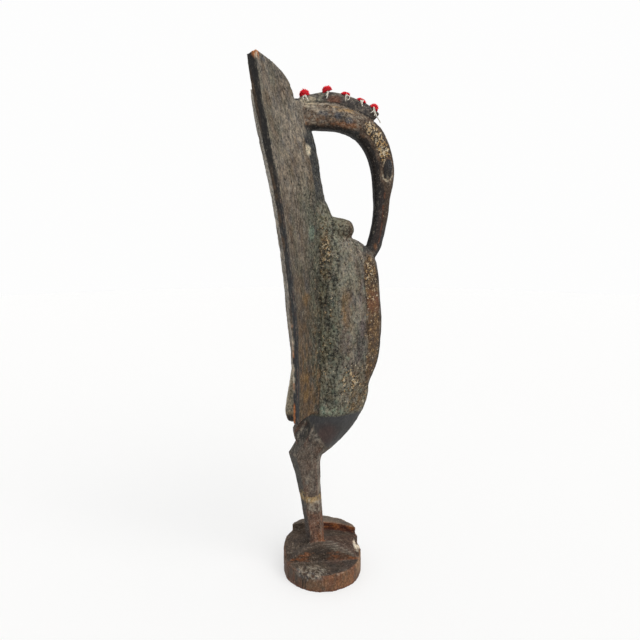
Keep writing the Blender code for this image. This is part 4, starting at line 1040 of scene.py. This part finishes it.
    colour = mixIn(colour, "sootAndShade", 0.9 * (1.0 - ramp(crack, 0.0008, 0.0026)) * front)
    chip = patch(points, (0.106, 0.003, 0.070), (0.014, 0.019, 0.016), 52, 0.4)
    colour = mixIn(colour, "rawPale", 0.98 * chip * ramp(x, 0.094, 0.099))
    colour = mixIn(colour, "rawWood", 0.6 * patch(points, (0.108, -0.004, 0.066), (0.005, 0.006, 0.006), 54, 0.4))
    return colour


def figureColour(points, normals, zone, flow):
    x, y, z = points.T
    colour = bodyColour(points, normals, flow, zone)
    for name, painter in (("leg", legColour), ("neck", neckColour), ("wing", wingColour), ("base", baseColour)):
        share = zone[name][:, None]
        colour = colour * (1.0 - share) + painter(points, normals, flow, zone) * share
    worn = (1.0 - ramp(toEdge, 0.0012, 0.0050)) * ramp(cloud(points, 0.020, 201, 3), -0.10, 0.35)
    warm = zone["wing"] * (1.0 - ramp(z, 1.0, 1.3)) + zone["base"] + zone["leg"]
    colour = mixIn(colour, "legRed", 0.40 * worn * np.clip(warm, 0, 1) * (1.0 - 0.7 * zone["wingEdge"]))
    colour = mixIn(colour, "dustAndHighlight", 0.30 * worn * (1.0 - np.clip(warm, 0, 1)))
    topLine = zone["wing"] * (1.0 - ramp(toEdge, 0.001, 0.005)) * ramp(z, 1.15, 1.22) * ramp(zone["share"], 0.1, 0.2)
    colour = mixIn(colour, "charcoal", 0.75 * topLine)
    tip = patch(points, (-0.176, -0.186, 1.438), (0.010, 0.014, 0.010), 60, 0.3)
    colour = mixIn(colour, "rawWood", tip)
    colour = mixIn(colour, "rawPale", 0.7 * patch(points, (-0.174, -0.190, 1.434), (0.006, 0.008, 0.007), 61, 0.3))
    arris = zone["wing"] * ramp(zone["behind"], 0.0075, 0.0100) * (1.0 - ramp(zone["share"], 0.03, 0.06)) * (y < 0)
    colour = mixIn(colour, "rawPale", 0.85 * arris * band(z, 0.610, 0.805, 0.01) * ramp(cloud(points, 0.018, 202, 2), -0.35, 0.0))
    colour = mixIn(colour, "rawWood", 0.60 * arris * band(z, 0.610, 0.805, 0.01) * ramp(cloud(points, 0.014, 203, 2), 0.0, 0.3))
    colour = mixIn(colour, "rawWood", 0.85 * arris * (1.0 - ramp(z + 0.01 * cloud(points, 0.012, 204, 2), 0.565, 0.580)))
    creamSpot = patch(points, (-0.043, -0.045, 1.238), (0.0075, 0.020, 0.0130), 34, 0.6)
    colour = mixIn(colour, "cream", 0.75 * creamSpot)
    # painted highlight: a pale line along the back edge of the thigh, where it catches the light
    thighEdgeHighlight = 1.0 - ramp(lineGap(x, z, [(-0.050, 0.482), (-0.076, 0.429)]), 0.0006, 0.0024)
    colour = mixIn(colour, "dustAndHighlight", 0.70 * thighEdgeHighlight * (y < 0) * zone["leg"])
    return colour


finish = {
    "grainScale": 230.0,
    "speckScale": 200.0,
    "crumbScale": 140.0,
    "dotScale": 205.0,             # painted dots on the head, so many to a metre
    "flakeScale": 125.0,           # loose flakes on the crust
    "cellScale": 150.0,
    "lineScale": 95.0,
    "grainContrast": 2.1,
    "speckContrast": 1.6,
    "blotchContrast": 0.55,
    "hueShift": 0.22,
    "roughness": 0.60,
    "gloss": 0.34,                 # the specular level of the old varnish
    "bump": 0.80,
    "bumpDepth": 0.0015,
}


def storeNumber(mesh, name, values):
    layer = mesh.attributes.new(name, "FLOAT", "POINT")
    layer.data.foreach_set("value", np.clip(values, 0.0, 1.0).astype(np.float32))


def storeVector(mesh, name, values):
    layer = mesh.attributes.new(name, "FLOAT_VECTOR", "POINT")
    layer.data.foreach_set("vector", np.ascontiguousarray(values, dtype=np.float32).ravel())


def storeColour(mesh, name, values):
    layer = mesh.attributes.new(name, "FLOAT_COLOR", "POINT")
    rgba = np.ones((len(values), 4), np.float32)
    rgba[:, :3] = values
    layer.data.foreach_set("color", rgba.ravel())


def paintFigure(mesh):
    points, normals = readPoints(mesh), readNormals(mesh)
    zone = zones(points, normals)
    flow = grainOf(points, zone)
    x, y, z = points.T
    mirrored = np.stack([x, -zone["out"], z], 1)
    storeColour(mesh, "oldPaintAndLight", figureColour(points, normals, zone, flow))
    storeVector(mesh, "grainRun", flow)
    storeNumber(mesh, "grainShare", 0.90 * zone["wing"] + 0.55 * zone["leg"] + 0.5 * zone["base"] + 0.70 * zone["neck"]
                + 0.85 * zone["body"] * (1.0 - 0.85 * zone["lowBelly"]) * (1.0 - 0.5 * zone["keel"]))
    storeNumber(mesh, "crustShare", crustShare(points, zone))
    notCrest = zone["neck"] * (1.0 - zone["crest"])
    along, offset = zone["along"], zone["offset"]
    ragged = 0.008 * cloud(points, 0.015, 210, 2)
    dots = notCrest * band(along, 0.178, 0.330, 0.022) * ramp(offset + ragged, -0.014, 0.000)
    dots = dots * (1.0 - 0.55 * ramp(offset + 0.4 * ragged, 0.019, 0.029))
    dots = np.maximum(dots, 0.28 * notCrest * ramp(offset, -0.020, -0.006) * (1.0 - ramp(along, 0.17, 0.25)))
    dots = np.maximum(dots, 0.20 * notCrest * ramp(offset, 0.000, 0.008) * band(along, 0.33, 0.46, 0.02))
    dots = np.maximum(dots, zone["keel"] * (0.54 + 0.22 * band(z, 0.870, 0.945, 0.02)) * ramp(zone["keelRim"], 0.005, 0.009))
    body = zone["body"] * (1.0 - zone["lowBelly"]) * (1.0 - zone["tail"]) * (1.0 - zone["keel"])
    clumps = ramp(cloud(points, 0.022, 211, 2), -0.25, 0.35)
    golden = patch(mirrored, (0.002, -0.050, 0.965), (0.022, 0.04, 0.075), 30, 0.7, 0.6)
    dots = np.maximum(dots, 0.84 * body * golden * ramp(cloud(points, 0.016, 211, 2), -0.35, 0.15))
    column = band(x, -0.018, 0.026, 0.012) * band(z, 0.600, 1.030, 0.030)
    dots = np.maximum(dots, 0.50 * body * column * clumps)
    dots = np.maximum(dots, 0.22 * body * clumps)
    creamy = patch(mirrored, (0.074, -0.050, 0.618), (0.044, 0.05, 0.040), 37, 0.7, 0.6)
    dots = np.maximum(dots, 0.98 * body * creamy * ramp(cloud(points, 0.014, 212, 2), -0.35, 0.20))
    lowFront = ramp(x, 0.050, 0.075) * band(z, 0.512, 0.600, 0.010)
    dots = np.maximum(dots, 0.60 * body * lowFront)
    dots = np.maximum(dots, 0.30 * zone["wing"] * ramp(zone["share"], 0.72, 0.90) * band(z, 0.60, 1.10, 0.04) * (zone["behind"] < 0.008))
    dots = dots * (1.0 - (1.0 - ramp(eyeGap(points), 1.12, 1.25)) * zone["neck"] * ramp(zone["out"], 0.006, 0.012))
    storeNumber(mesh, "dotShare", dots)
    storeNumber(mesh, "lineShare", notCrest * (1.0 - ramp(along, 0.18, 0.24)) * ramp(offset, -0.020, -0.008) + 0.45 * zone["leg"])
    storeNumber(mesh, "polishShare", 0.95 * zone["lowBelly"] + 0.30 * zone["leg"] + 0.35 * zone["base"]
                + 0.55 * zone["neck"] * ramp(along, 0.34, 0.38) + 0.8 * zone["wingEdge"])
    storeNumber(mesh, "wornShare", 1.0 - ramp(toEdge, 0.001, 0.006))


def makeWood():
    material = bpy.data.materials.new("oldPaintedWood")
    material.use_nodes = True
    tree = material.node_tree
    shader = tree.nodes["Principled BSDF"]
    place = addNode(tree, "ShaderNodeTexCoord").outputs["Object"]
    run = attribute(tree, "grainRun", "Vector")
    grainShare = attribute(tree, "grainShare")
    crust = attribute(tree, "crustShare")
    dotShare = attribute(tree, "dotShare")
    polish = attribute(tree, "polishShare")
    worn = attribute(tree, "wornShare")
    rough = maths(tree, "SUBTRACT", 1.0, product(tree, polish, 0.85))

    grain = noiseFrom(tree, run, finish["grainScale"], 4.0, 0.72)
    speck = noiseFrom(tree, place, finish["speckScale"], 3.0, 0.7)
    scuff = noiseFrom(tree, run, 0.5 * finish["grainScale"], 4.0, 0.75)
    crumb = noiseFrom(tree, place, finish["crumbScale"], 4.0, 0.7)
    blotch = noiseFrom(tree, place, 0.28 * finish["crumbScale"], 3.0, 0.6)

    # light and dark along the grain, an even grain of fine specks, and wide soft blotches
    streak = product(tree, maths(tree, "SUBTRACT", grain, 0.5), 2.0 * finish["grainContrast"],
                     maths(tree, "ADD", product(tree, grainShare, 0.8), 0.15))
    fleck = product(tree, maths(tree, "SUBTRACT", speck, 0.5), 2.0 * finish["speckContrast"], rough)
    wide = product(tree, maths(tree, "SUBTRACT", blotch, 0.5), 2.0 * finish["blotchContrast"])
    bright = maths(tree, "ADD", maths(tree, "ADD", maths(tree, "ADD", streak, fleck), wide), 1.0)
    bright = maths(tree, "MAXIMUM", bright, 0.10)
    hue = product(tree, maths(tree, "SUBTRACT", scuff, 0.5), 2.0 * finish["hueShift"], rough)
    warmer = product(tree, bright, maths(tree, "ADD", 1.0, hue))
    cooler = product(tree, bright, maths(tree, "SUBTRACT", 1.0, product(tree, hue, 1.3)))
    shade = addNode(tree, "ShaderNodeCombineColor", None, Red=warmer, Green=bright, Blue=cooler).outputs[0]
    colour = tint(tree, "MULTIPLY", 1.0, attribute(tree, "oldPaintAndLight", "Color"), shade)
    dusty = product(tree, between(tree, scuff, 0.56, 0.68), grainShare, 0.40)
    colour = tint(tree, "MIX", dusty, colour, tuple(linear(*paint["dustAndHighlight"])))
    paleSpecks = product(tree, between(tree, speck, 0.58, 0.68), rough, 0.45)
    colour = tint(tree, "MIX", paleSpecks, colour, tuple(linear(*paint["dustAndHighlight"])))
    pits = product(tree, maths(tree, "SUBTRACT", 1.0, between(tree, crumb, 0.33, 0.42)), rough, 0.65)
    colour = tint(tree, "MIX", pits, colour, tuple(0.35 * linear(*paint["umber"])))

    # crust: dark hollows and grey green crumbs
    hollow = product(tree, maths(tree, "SUBTRACT", 1.0, between(tree, crumb, 0.40, 0.475)), crust, 0.92)
    colour = tint(tree, "MIX", hollow, colour, tuple(0.22 * linear(*paint["flankDark"])))
    crumbs = product(tree, between(tree, crumb, 0.53, 0.59), crust, 0.62)
    colour = tint(tree, "MIX", crumbs, colour, tuple(linear(*paint["crumbGrey"])))

    # painted dots and loose flakes of ochre, cream and brown: the more of them, the darker the gaps
    cells = addNode(tree, "ShaderNodeTexVoronoi", {"feature": "F1"}, Vector=place, Scale=finish["cellScale"])
    chosen = addNode(tree, "ShaderNodeSeparateColor", None, Color=cells.outputs["Color"]).outputs
    dot = noiseFrom(tree, place, finish["dotScale"], 2.0, 0.6)
    dense = between(tree, dotShare, 0.50, 0.95)
    manyDots = product(tree, between(tree, maths(tree, "ADD", dot, product(tree, dotShare, 0.200)), 0.720, 0.755), dense)
    chip = noiseFrom(tree, place, finish["flakeScale"], 3.0, 0.65)
    fewFlakes = between(tree, maths(tree, "ADD", chip, product(tree, dotShare, 0.17)), 0.70, 0.73)
    fewFlakes = product(tree, fewFlakes, between(tree, dotShare, 0.03, 0.12))
    picked = maths(tree, "MAXIMUM", manyDots, fewFlakes)
    gap = product(tree, maths(tree, "SUBTRACT", 1.0, picked), dense, 0.72)
    colour = tint(tree, "MIX", gap, colour, tuple(0.40 * linear(*paint["umber"])))
    flakeColour = tint(tree, "MIX", between(tree, chosen[1], 0.35, 0.85), tuple(linear(*paint["sand"])), tuple(linear(*paint["cream"])))
    flakeColour = tint(tree, "MIX", between(tree, chosen[2], 0.60, 0.80), flakeColour, tuple(linear(*paint["ochre"])))
    flake = product(tree, picked, 0.90)
    colour = tint(tree, "MIX", flake, colour, flakeColour)

    # thin wavy pale lines of worn paint on the neck and the leg
    wave = noiseFrom(tree, place, finish["lineScale"], 2.0, 0.5)
    onLine = maths(tree, "SUBTRACT", 1.0, between(tree, maths(tree, "ABSOLUTE", maths(tree, "SUBTRACT", wave, 0.5)), 0.006, 0.030))
    line = product(tree, onLine, attribute(tree, "lineShare"), between(tree, scuff, 0.42, 0.60), 0.75)
    colour = tint(tree, "MIX", line, colour, tuple(linear(*paint["dustAndHighlight"])))

    bare = product(tree, between(tree, maths(tree, "ADD", scuff, product(tree, worn, 0.15)), 0.62, 0.76), worn, rough, 0.45)
    colour = tint(tree, "MIX", bare, colour, tuple(linear(*paint["dustAndHighlight"])))
    tree.links.new(colour, shader.inputs["Base Color"])

    dull = maths(tree, "ADD", finish["roughness"], product(tree, speck, 0.28))
    tree.links.new(maths(tree, "SUBTRACT", dull, product(tree, polish, 0.22)), shader.inputs["Roughness"])
    shader.inputs["Specular IOR Level"].default_value = finish["gloss"]

    height = product(tree, grain, maths(tree, "ADD", product(tree, grainShare, 0.8), 0.1))
    height = maths(tree, "ADD", height, product(tree, crumb, crust, 1.1))
    height = maths(tree, "ADD", height, product(tree, flake, 0.35))
    height = maths(tree, "ADD", height, product(tree, speck, rough, 0.22))
    bump = addNode(tree, "ShaderNodeBump", None, Height=height)
    bump.inputs["Strength"].default_value = finish["bump"]
    bump.inputs["Distance"].default_value = finish["bumpDepth"]
    tree.links.new(bump.outputs[0], shader.inputs["Normal"])
    return material


def place(name, mesh, node, slot, look):
    mesh.polygons.foreach_set("use_smooth", [True] * len(mesh.polygons))
    mesh.materials.clear()
    mesh.materials.append(look)
    piece = bpy.data.objects.new(name, mesh)
    bpy.context.scene.collection.objects.link(piece)
    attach(piece, "root")
    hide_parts(node)


paintFigure(birdMesh)
place("carvedBird", birdMesh, "carved_figure", "carved_wood", makeWood())
report("the figure is painted")


# Wool tufts: bundles of short curved fibres, cut to the shape of each tuft

wool = {
    "fibres": 760,
    "fibreRadius": 0.00040,
    "joints": 5,
    "curl": 0.0017,
    "colour": (255, 44, 62),
    "shadow": (196, 12, 34),
    "roughness": 0.9,
    "sheen": 0.4,
    # forward and up from the solid's own middle, half width, half height, and lean in degrees
    "shapes": [
        (-0.0015, -0.0022, 0.0145, 0.0100, 6.0),
        (-0.0025, -0.0030, 0.0140, 0.0082, 24.0),
        (-0.0028, -0.0034, 0.0126, 0.0050, -8.0),
        (0.0005, -0.0050, 0.0136, 0.0052, -27.0),
        (0.0015, -0.0050, 0.0130, 0.0084, -38.0),
    ],
}


def makeWoolLook():
    material = bpy.data.materials.new("redWool")
    material.use_nodes = True
    tree = material.node_tree
    shader = tree.nodes["Principled BSDF"]
    place_ = addNode(tree, "ShaderNodeTexCoord").outputs["Object"]
    clumps = noiseFrom(tree, place_, 520.0, 2.0, 0.6)
    share = maths(tree, "ADD", product(tree, attribute(tree, "fibreDepth"), 0.8), product(tree, clumps, 0.4), True)
    colour = tint(tree, "MIX", share, tuple(linear(*wool["shadow"])), tuple(linear(*wool["colour"])))
    tree.links.new(colour, shader.inputs["Base Color"])
    shader.inputs["Roughness"].default_value = wool["roughness"]
    shader.inputs["Sheen Weight"].default_value = wool["sheen"]
    shader.inputs["Sheen Roughness"].default_value = 0.4
    shader.inputs["Specular IOR Level"].default_value = 0.15
    return material


def rodMesh(name, paths, radii, sides, closed=False):
    # many round rods in one mesh, each along its own list of points
    vertices, faces, shares = [], [], []
    for path, radius in zip(paths, radii):
        path = np.asarray(path, float)
        count = len(path)
        if closed:
            ahead = np.roll(path, -1, 0) - np.roll(path, 1, 0)
        else:
            ahead = np.gradient(path, axis=0)
        ahead /= np.maximum(np.linalg.norm(ahead, axis=1, keepdims=True), 1e-9)
        start = len(vertices)
        across = np.cross(ahead[0], (0.31, 0.77, 0.55))
        for i in range(count):
            across = across - ahead[i] * (across @ ahead[i])
            across /= max(np.linalg.norm(across), 1e-9)
            other = np.cross(ahead[i], across)
            for k in range(sides):
                turn = 2 * math.pi * k / sides
                vertices.append(path[i] + radius * (math.cos(turn) * across + math.sin(turn) * other))
                shares.append(i / (count - 1))
        for i in range(count if closed else count - 1):
            for k in range(sides):
                a, b = start + i * sides + k, start + i * sides + (k + 1) % sides
                c, d = (b + sides, a + sides) if i < count - 1 else (start + (k + 1) % sides, start + k)
                faces.append((a, b, c, d))
        if not closed:
            faces.append(tuple(range(start + sides - 1, start - 1, -1)))
            last = start + (count - 1) * sides
            faces.append(tuple(range(last, last + sides)))
    mesh = bpy.data.meshes.new(name)
    mesh.from_pydata([tuple(v) for v in vertices], [], faces)
    mesh.update()
    return mesh, np.array(shares)


def makeTuft(number, look):
    low, high = (np.array(c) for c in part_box("wool_tuft_%d" % number))
    forward, up, wide, tall, lean = wool["shapes"][number - 1]
    random = np.random.default_rng(500 + number)
    centre = (low + high) / 2 + (forward, 0.0, up)
    lean = math.radians(lean)
    along = np.array([math.cos(lean), 0.0, math.sin(lean)])
    upward = np.array([-math.sin(lean), 0.0, math.cos(lean)])
    foot = centre - 0.55 * tall * upward
    paths, radii = [], []
    for i in range(wool["fibres"]):
        turn = random.uniform(0, 2 * math.pi)
        lift = random.uniform(-0.22, 1.0)
        flat = math.sqrt(max(1.0 - max(lift, 0.0)**2, 0.0))
        length = random.uniform(0.80, 1.0) if i % 9 else random.uniform(0.95, 1.12)
        lumps = 1.0 + 0.10 * math.sin(3 * turn + number) * flat
        reach = length * lumps * np.array([wide * flat * math.cos(turn), 0.88 * wide * flat * math.sin(turn), 1.55 * tall * lift])
        tip = foot + reach[0] * along + (0, reach[1], 0) + reach[2] * upward
        start = foot + random.normal(0, 0.10, 3) * (wide, wide, 0.4 * tall) + 0.12 * tall * upward
        sway = random.normal(0, wool["curl"], 3)
        second = random.normal(0, 0.6 * wool["curl"], 3)
        path = []
        for j in range(wool["joints"]):
            t = j / (wool["joints"] - 1)
            path.append(start + (tip - start) * t + sway * math.sin(math.pi * t) * t + second * math.sin(2 * math.pi * t) * t)
        paths.append(path)
        radii.append(wool["fibreRadius"] * random.uniform(0.8, 1.2))
    mesh, shares = rodMesh("woolTuft%d" % number, paths, radii, 4)
    storeNumber(mesh, "fibreDepth", shares)
    place("woolTuft%d" % number, mesh, "wool_tuft_%d" % number, "red_wool", look)


woolLook = makeWoolLook()
for number in range(1, 6):
    makeTuft(number, woolLook)
report("the wool tufts are tied on")


# String ties: two-ply cotton through the crest's hole and over its top, with a knot and short ends on the right

cotton = {
    "plyRadius": 0.00088,
    "twistLength": 0.0042,
    "pointGap": 0.00045,
    "colour": (255, 251, 240),
    "shade": (236, 230, 212),
    "roughness": 0.9,
    "holeDepth": 0.0105,
    # forward and down from the knot, in millimetres, for each loose end
    "ends": [
        [[(-3, -2), (-8, 3), (-5, 9)], [(2, 0), (3, 4), (7, 13)]],
        [[(0, 0), (0, 6), (-3, 15)], [(1, 0), (-3, 4), (-5, 8)]],
        [[(-2, -2), (-3, 7), (-3, 15)], [(4, 0), (8, 3), (7, 9), (2, 12)]],
        [[(-3, -3), (-5, -4), (-1, 5), (1, 12)], [(2, -2), (4, -4), (0, 6)]],
        [[(0, 0), (-2, 8), (-9, 11)], [(0, 2), (3, 12), (1, 19)], [(2, 4), (6, 18), (14, 28), (19, 36)]],
    ],
}


def smoothPath(corners, gap):
    # a fair line through the corners, with even steps
    corners = np.array(corners, float)
    steps = np.linalg.norm(np.diff(corners, axis=0), axis=1)
    far = np.concatenate([[0.0], np.cumsum(steps)])
    even = np.linspace(0.0, far[-1], max(int(far[-1] / gap), 6))
    line = np.stack([np.interp(even, far, corners[:, c]) for c in range(3)], 1)
    for round_ in range(int(0.9 * (far[-1] / gap)**0.5) + 6):
        line[1:-1] += 0.5 * (0.5 * (line[:-2] + line[2:]) - line[1:-1])
    return line


def twist(line, turned=0.0):
    # the two plies of a cord along a line
    steps = np.concatenate([[0.0], np.cumsum(np.linalg.norm(np.diff(line, axis=0), axis=1))])
    ahead = np.gradient(line, axis=0)
    ahead /= np.maximum(np.linalg.norm(ahead, axis=1, keepdims=True), 1e-9)
    plies = []
    for phase in (0.0, math.pi):
        across = np.cross(ahead[0], (0.2, 0.9, 0.4))
        ply = []
        for i, point in enumerate(line):
            across = across - ahead[i] * (across @ ahead[i])
            across /= max(np.linalg.norm(across), 1e-9)
            turn = 2 * math.pi * steps[i] / cotton["twistLength"] + phase + turned
            ply.append(point + 0.82 * cotton["plyRadius"] * (math.cos(turn) * across + math.sin(turn) * np.cross(ahead[i], across)))
        plies.append(ply)
    return plies


def makeCottonLook():
    material = bpy.data.materials.new("cottonString")
    material.use_nodes = True
    tree = material.node_tree
    shader = tree.nodes["Principled BSDF"]
    position = addNode(tree, "ShaderNodeTexCoord").outputs["Object"]
    fibre = noiseFrom(tree, position, 1400.0, 3.0, 0.6)
    stain = noiseFrom(tree, position, 160.0, 2.0, 0.5)
    colour = tint(tree, "MIX", between(tree, stain, 0.42, 0.64), tuple(linear(*cotton["colour"])), tuple(linear(*cotton["shade"])))
    bright = addNode(tree, "ShaderNodeMapRange", None, Value=fibre)
    bright.inputs["To Min"].default_value = 0.80
    bright.inputs["To Max"].default_value = 1.15
    grey = addNode(tree, "ShaderNodeCombineColor", None, Red=bright.outputs[0], Green=bright.outputs[0], Blue=bright.outputs[0])
    colour = tint(tree, "MULTIPLY", 1.0, colour, grey.outputs[0])
    tree.links.new(colour, shader.inputs["Base Color"])
    shader.inputs["Roughness"].default_value = cotton["roughness"]
    shader.inputs["Sheen Weight"].default_value = 0.2
    bump = addNode(tree, "ShaderNodeBump", None, Height=fibre)
    bump.inputs["Strength"].default_value = 0.5
    bump.inputs["Distance"].default_value = 0.0003
    tree.links.new(bump.outputs[0], shader.inputs["Normal"])
    return material


def makeTie(number, look):
    low, high = (np.array(c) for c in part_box("string_tie_%d" % number))
    x = np.array([-0.0470, 0.0125, 0.0640, 0.1055, 0.1385])[number - 1]
    top = high[2] - 0.0011
    hole = top - cotton["holeDepth"] - 0.0014
    outLow, outHigh = 0.0147, 0.0086
    loop = [(x, 0.0, hole), (x, -0.6 * outLow, hole), (x, -outLow, hole + 0.003), (x, -0.5 * (outLow + outHigh), hole + 0.0065),
            (x, -outHigh, top - 0.0022), (x, -0.5 * outHigh, top), (x, 0.0, top + 0.0003), (x, 0.5 * outHigh, top),
            (x, outHigh, top - 0.0022), (x, 0.5 * (outLow + outHigh), hole + 0.0065), (x, outLow, hole + 0.003),
            (x, 0.6 * outLow, hole), (x, 0.0, hole)]
    paths = twist(smoothPath(loop, cotton["pointGap"]))
    knotPlace = np.array([x, -outLow - 0.0006, hole + 0.0050])
    knot = []
    for i in range(40):
        turn = 2 * math.pi * i / 39
        knot.append(knotPlace + np.array([0.0017 * math.sin(2 * turn), -0.0012 * math.cos(3 * turn), 0.0019 * math.cos(turn)]))
    paths += twist(np.array(knot))
    for k, end in enumerate(cotton["ends"][number - 1]):
        corners = [knotPlace + (0.001 * forward, -0.0005 - 0.0004 * min(i, 3), -0.001 * down) for i, (forward, down) in enumerate(end)]
        if number == 5 and k == 2:
            corners[-1] = corners[-1] + (0.0, 0.0060, 0.0)
            corners[-2] = corners[-2] + (0.0, 0.0030, 0.0)
        paths += twist(smoothPath([knotPlace] + corners, cotton["pointGap"]), 0.7 * k)
    mesh, shares = rodMesh("stringTie%d" % number, paths, [cotton["plyRadius"]] * len(paths), 6)
    place("stringTie%d" % number, mesh, "string_tie_%d" % number, "cotton_string", look)


cottonLook = makeCottonLook()
for number in range(1, 6):
    makeTie(number, cottonLook)
report("the strings are tied")

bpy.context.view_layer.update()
report("sizes are written")
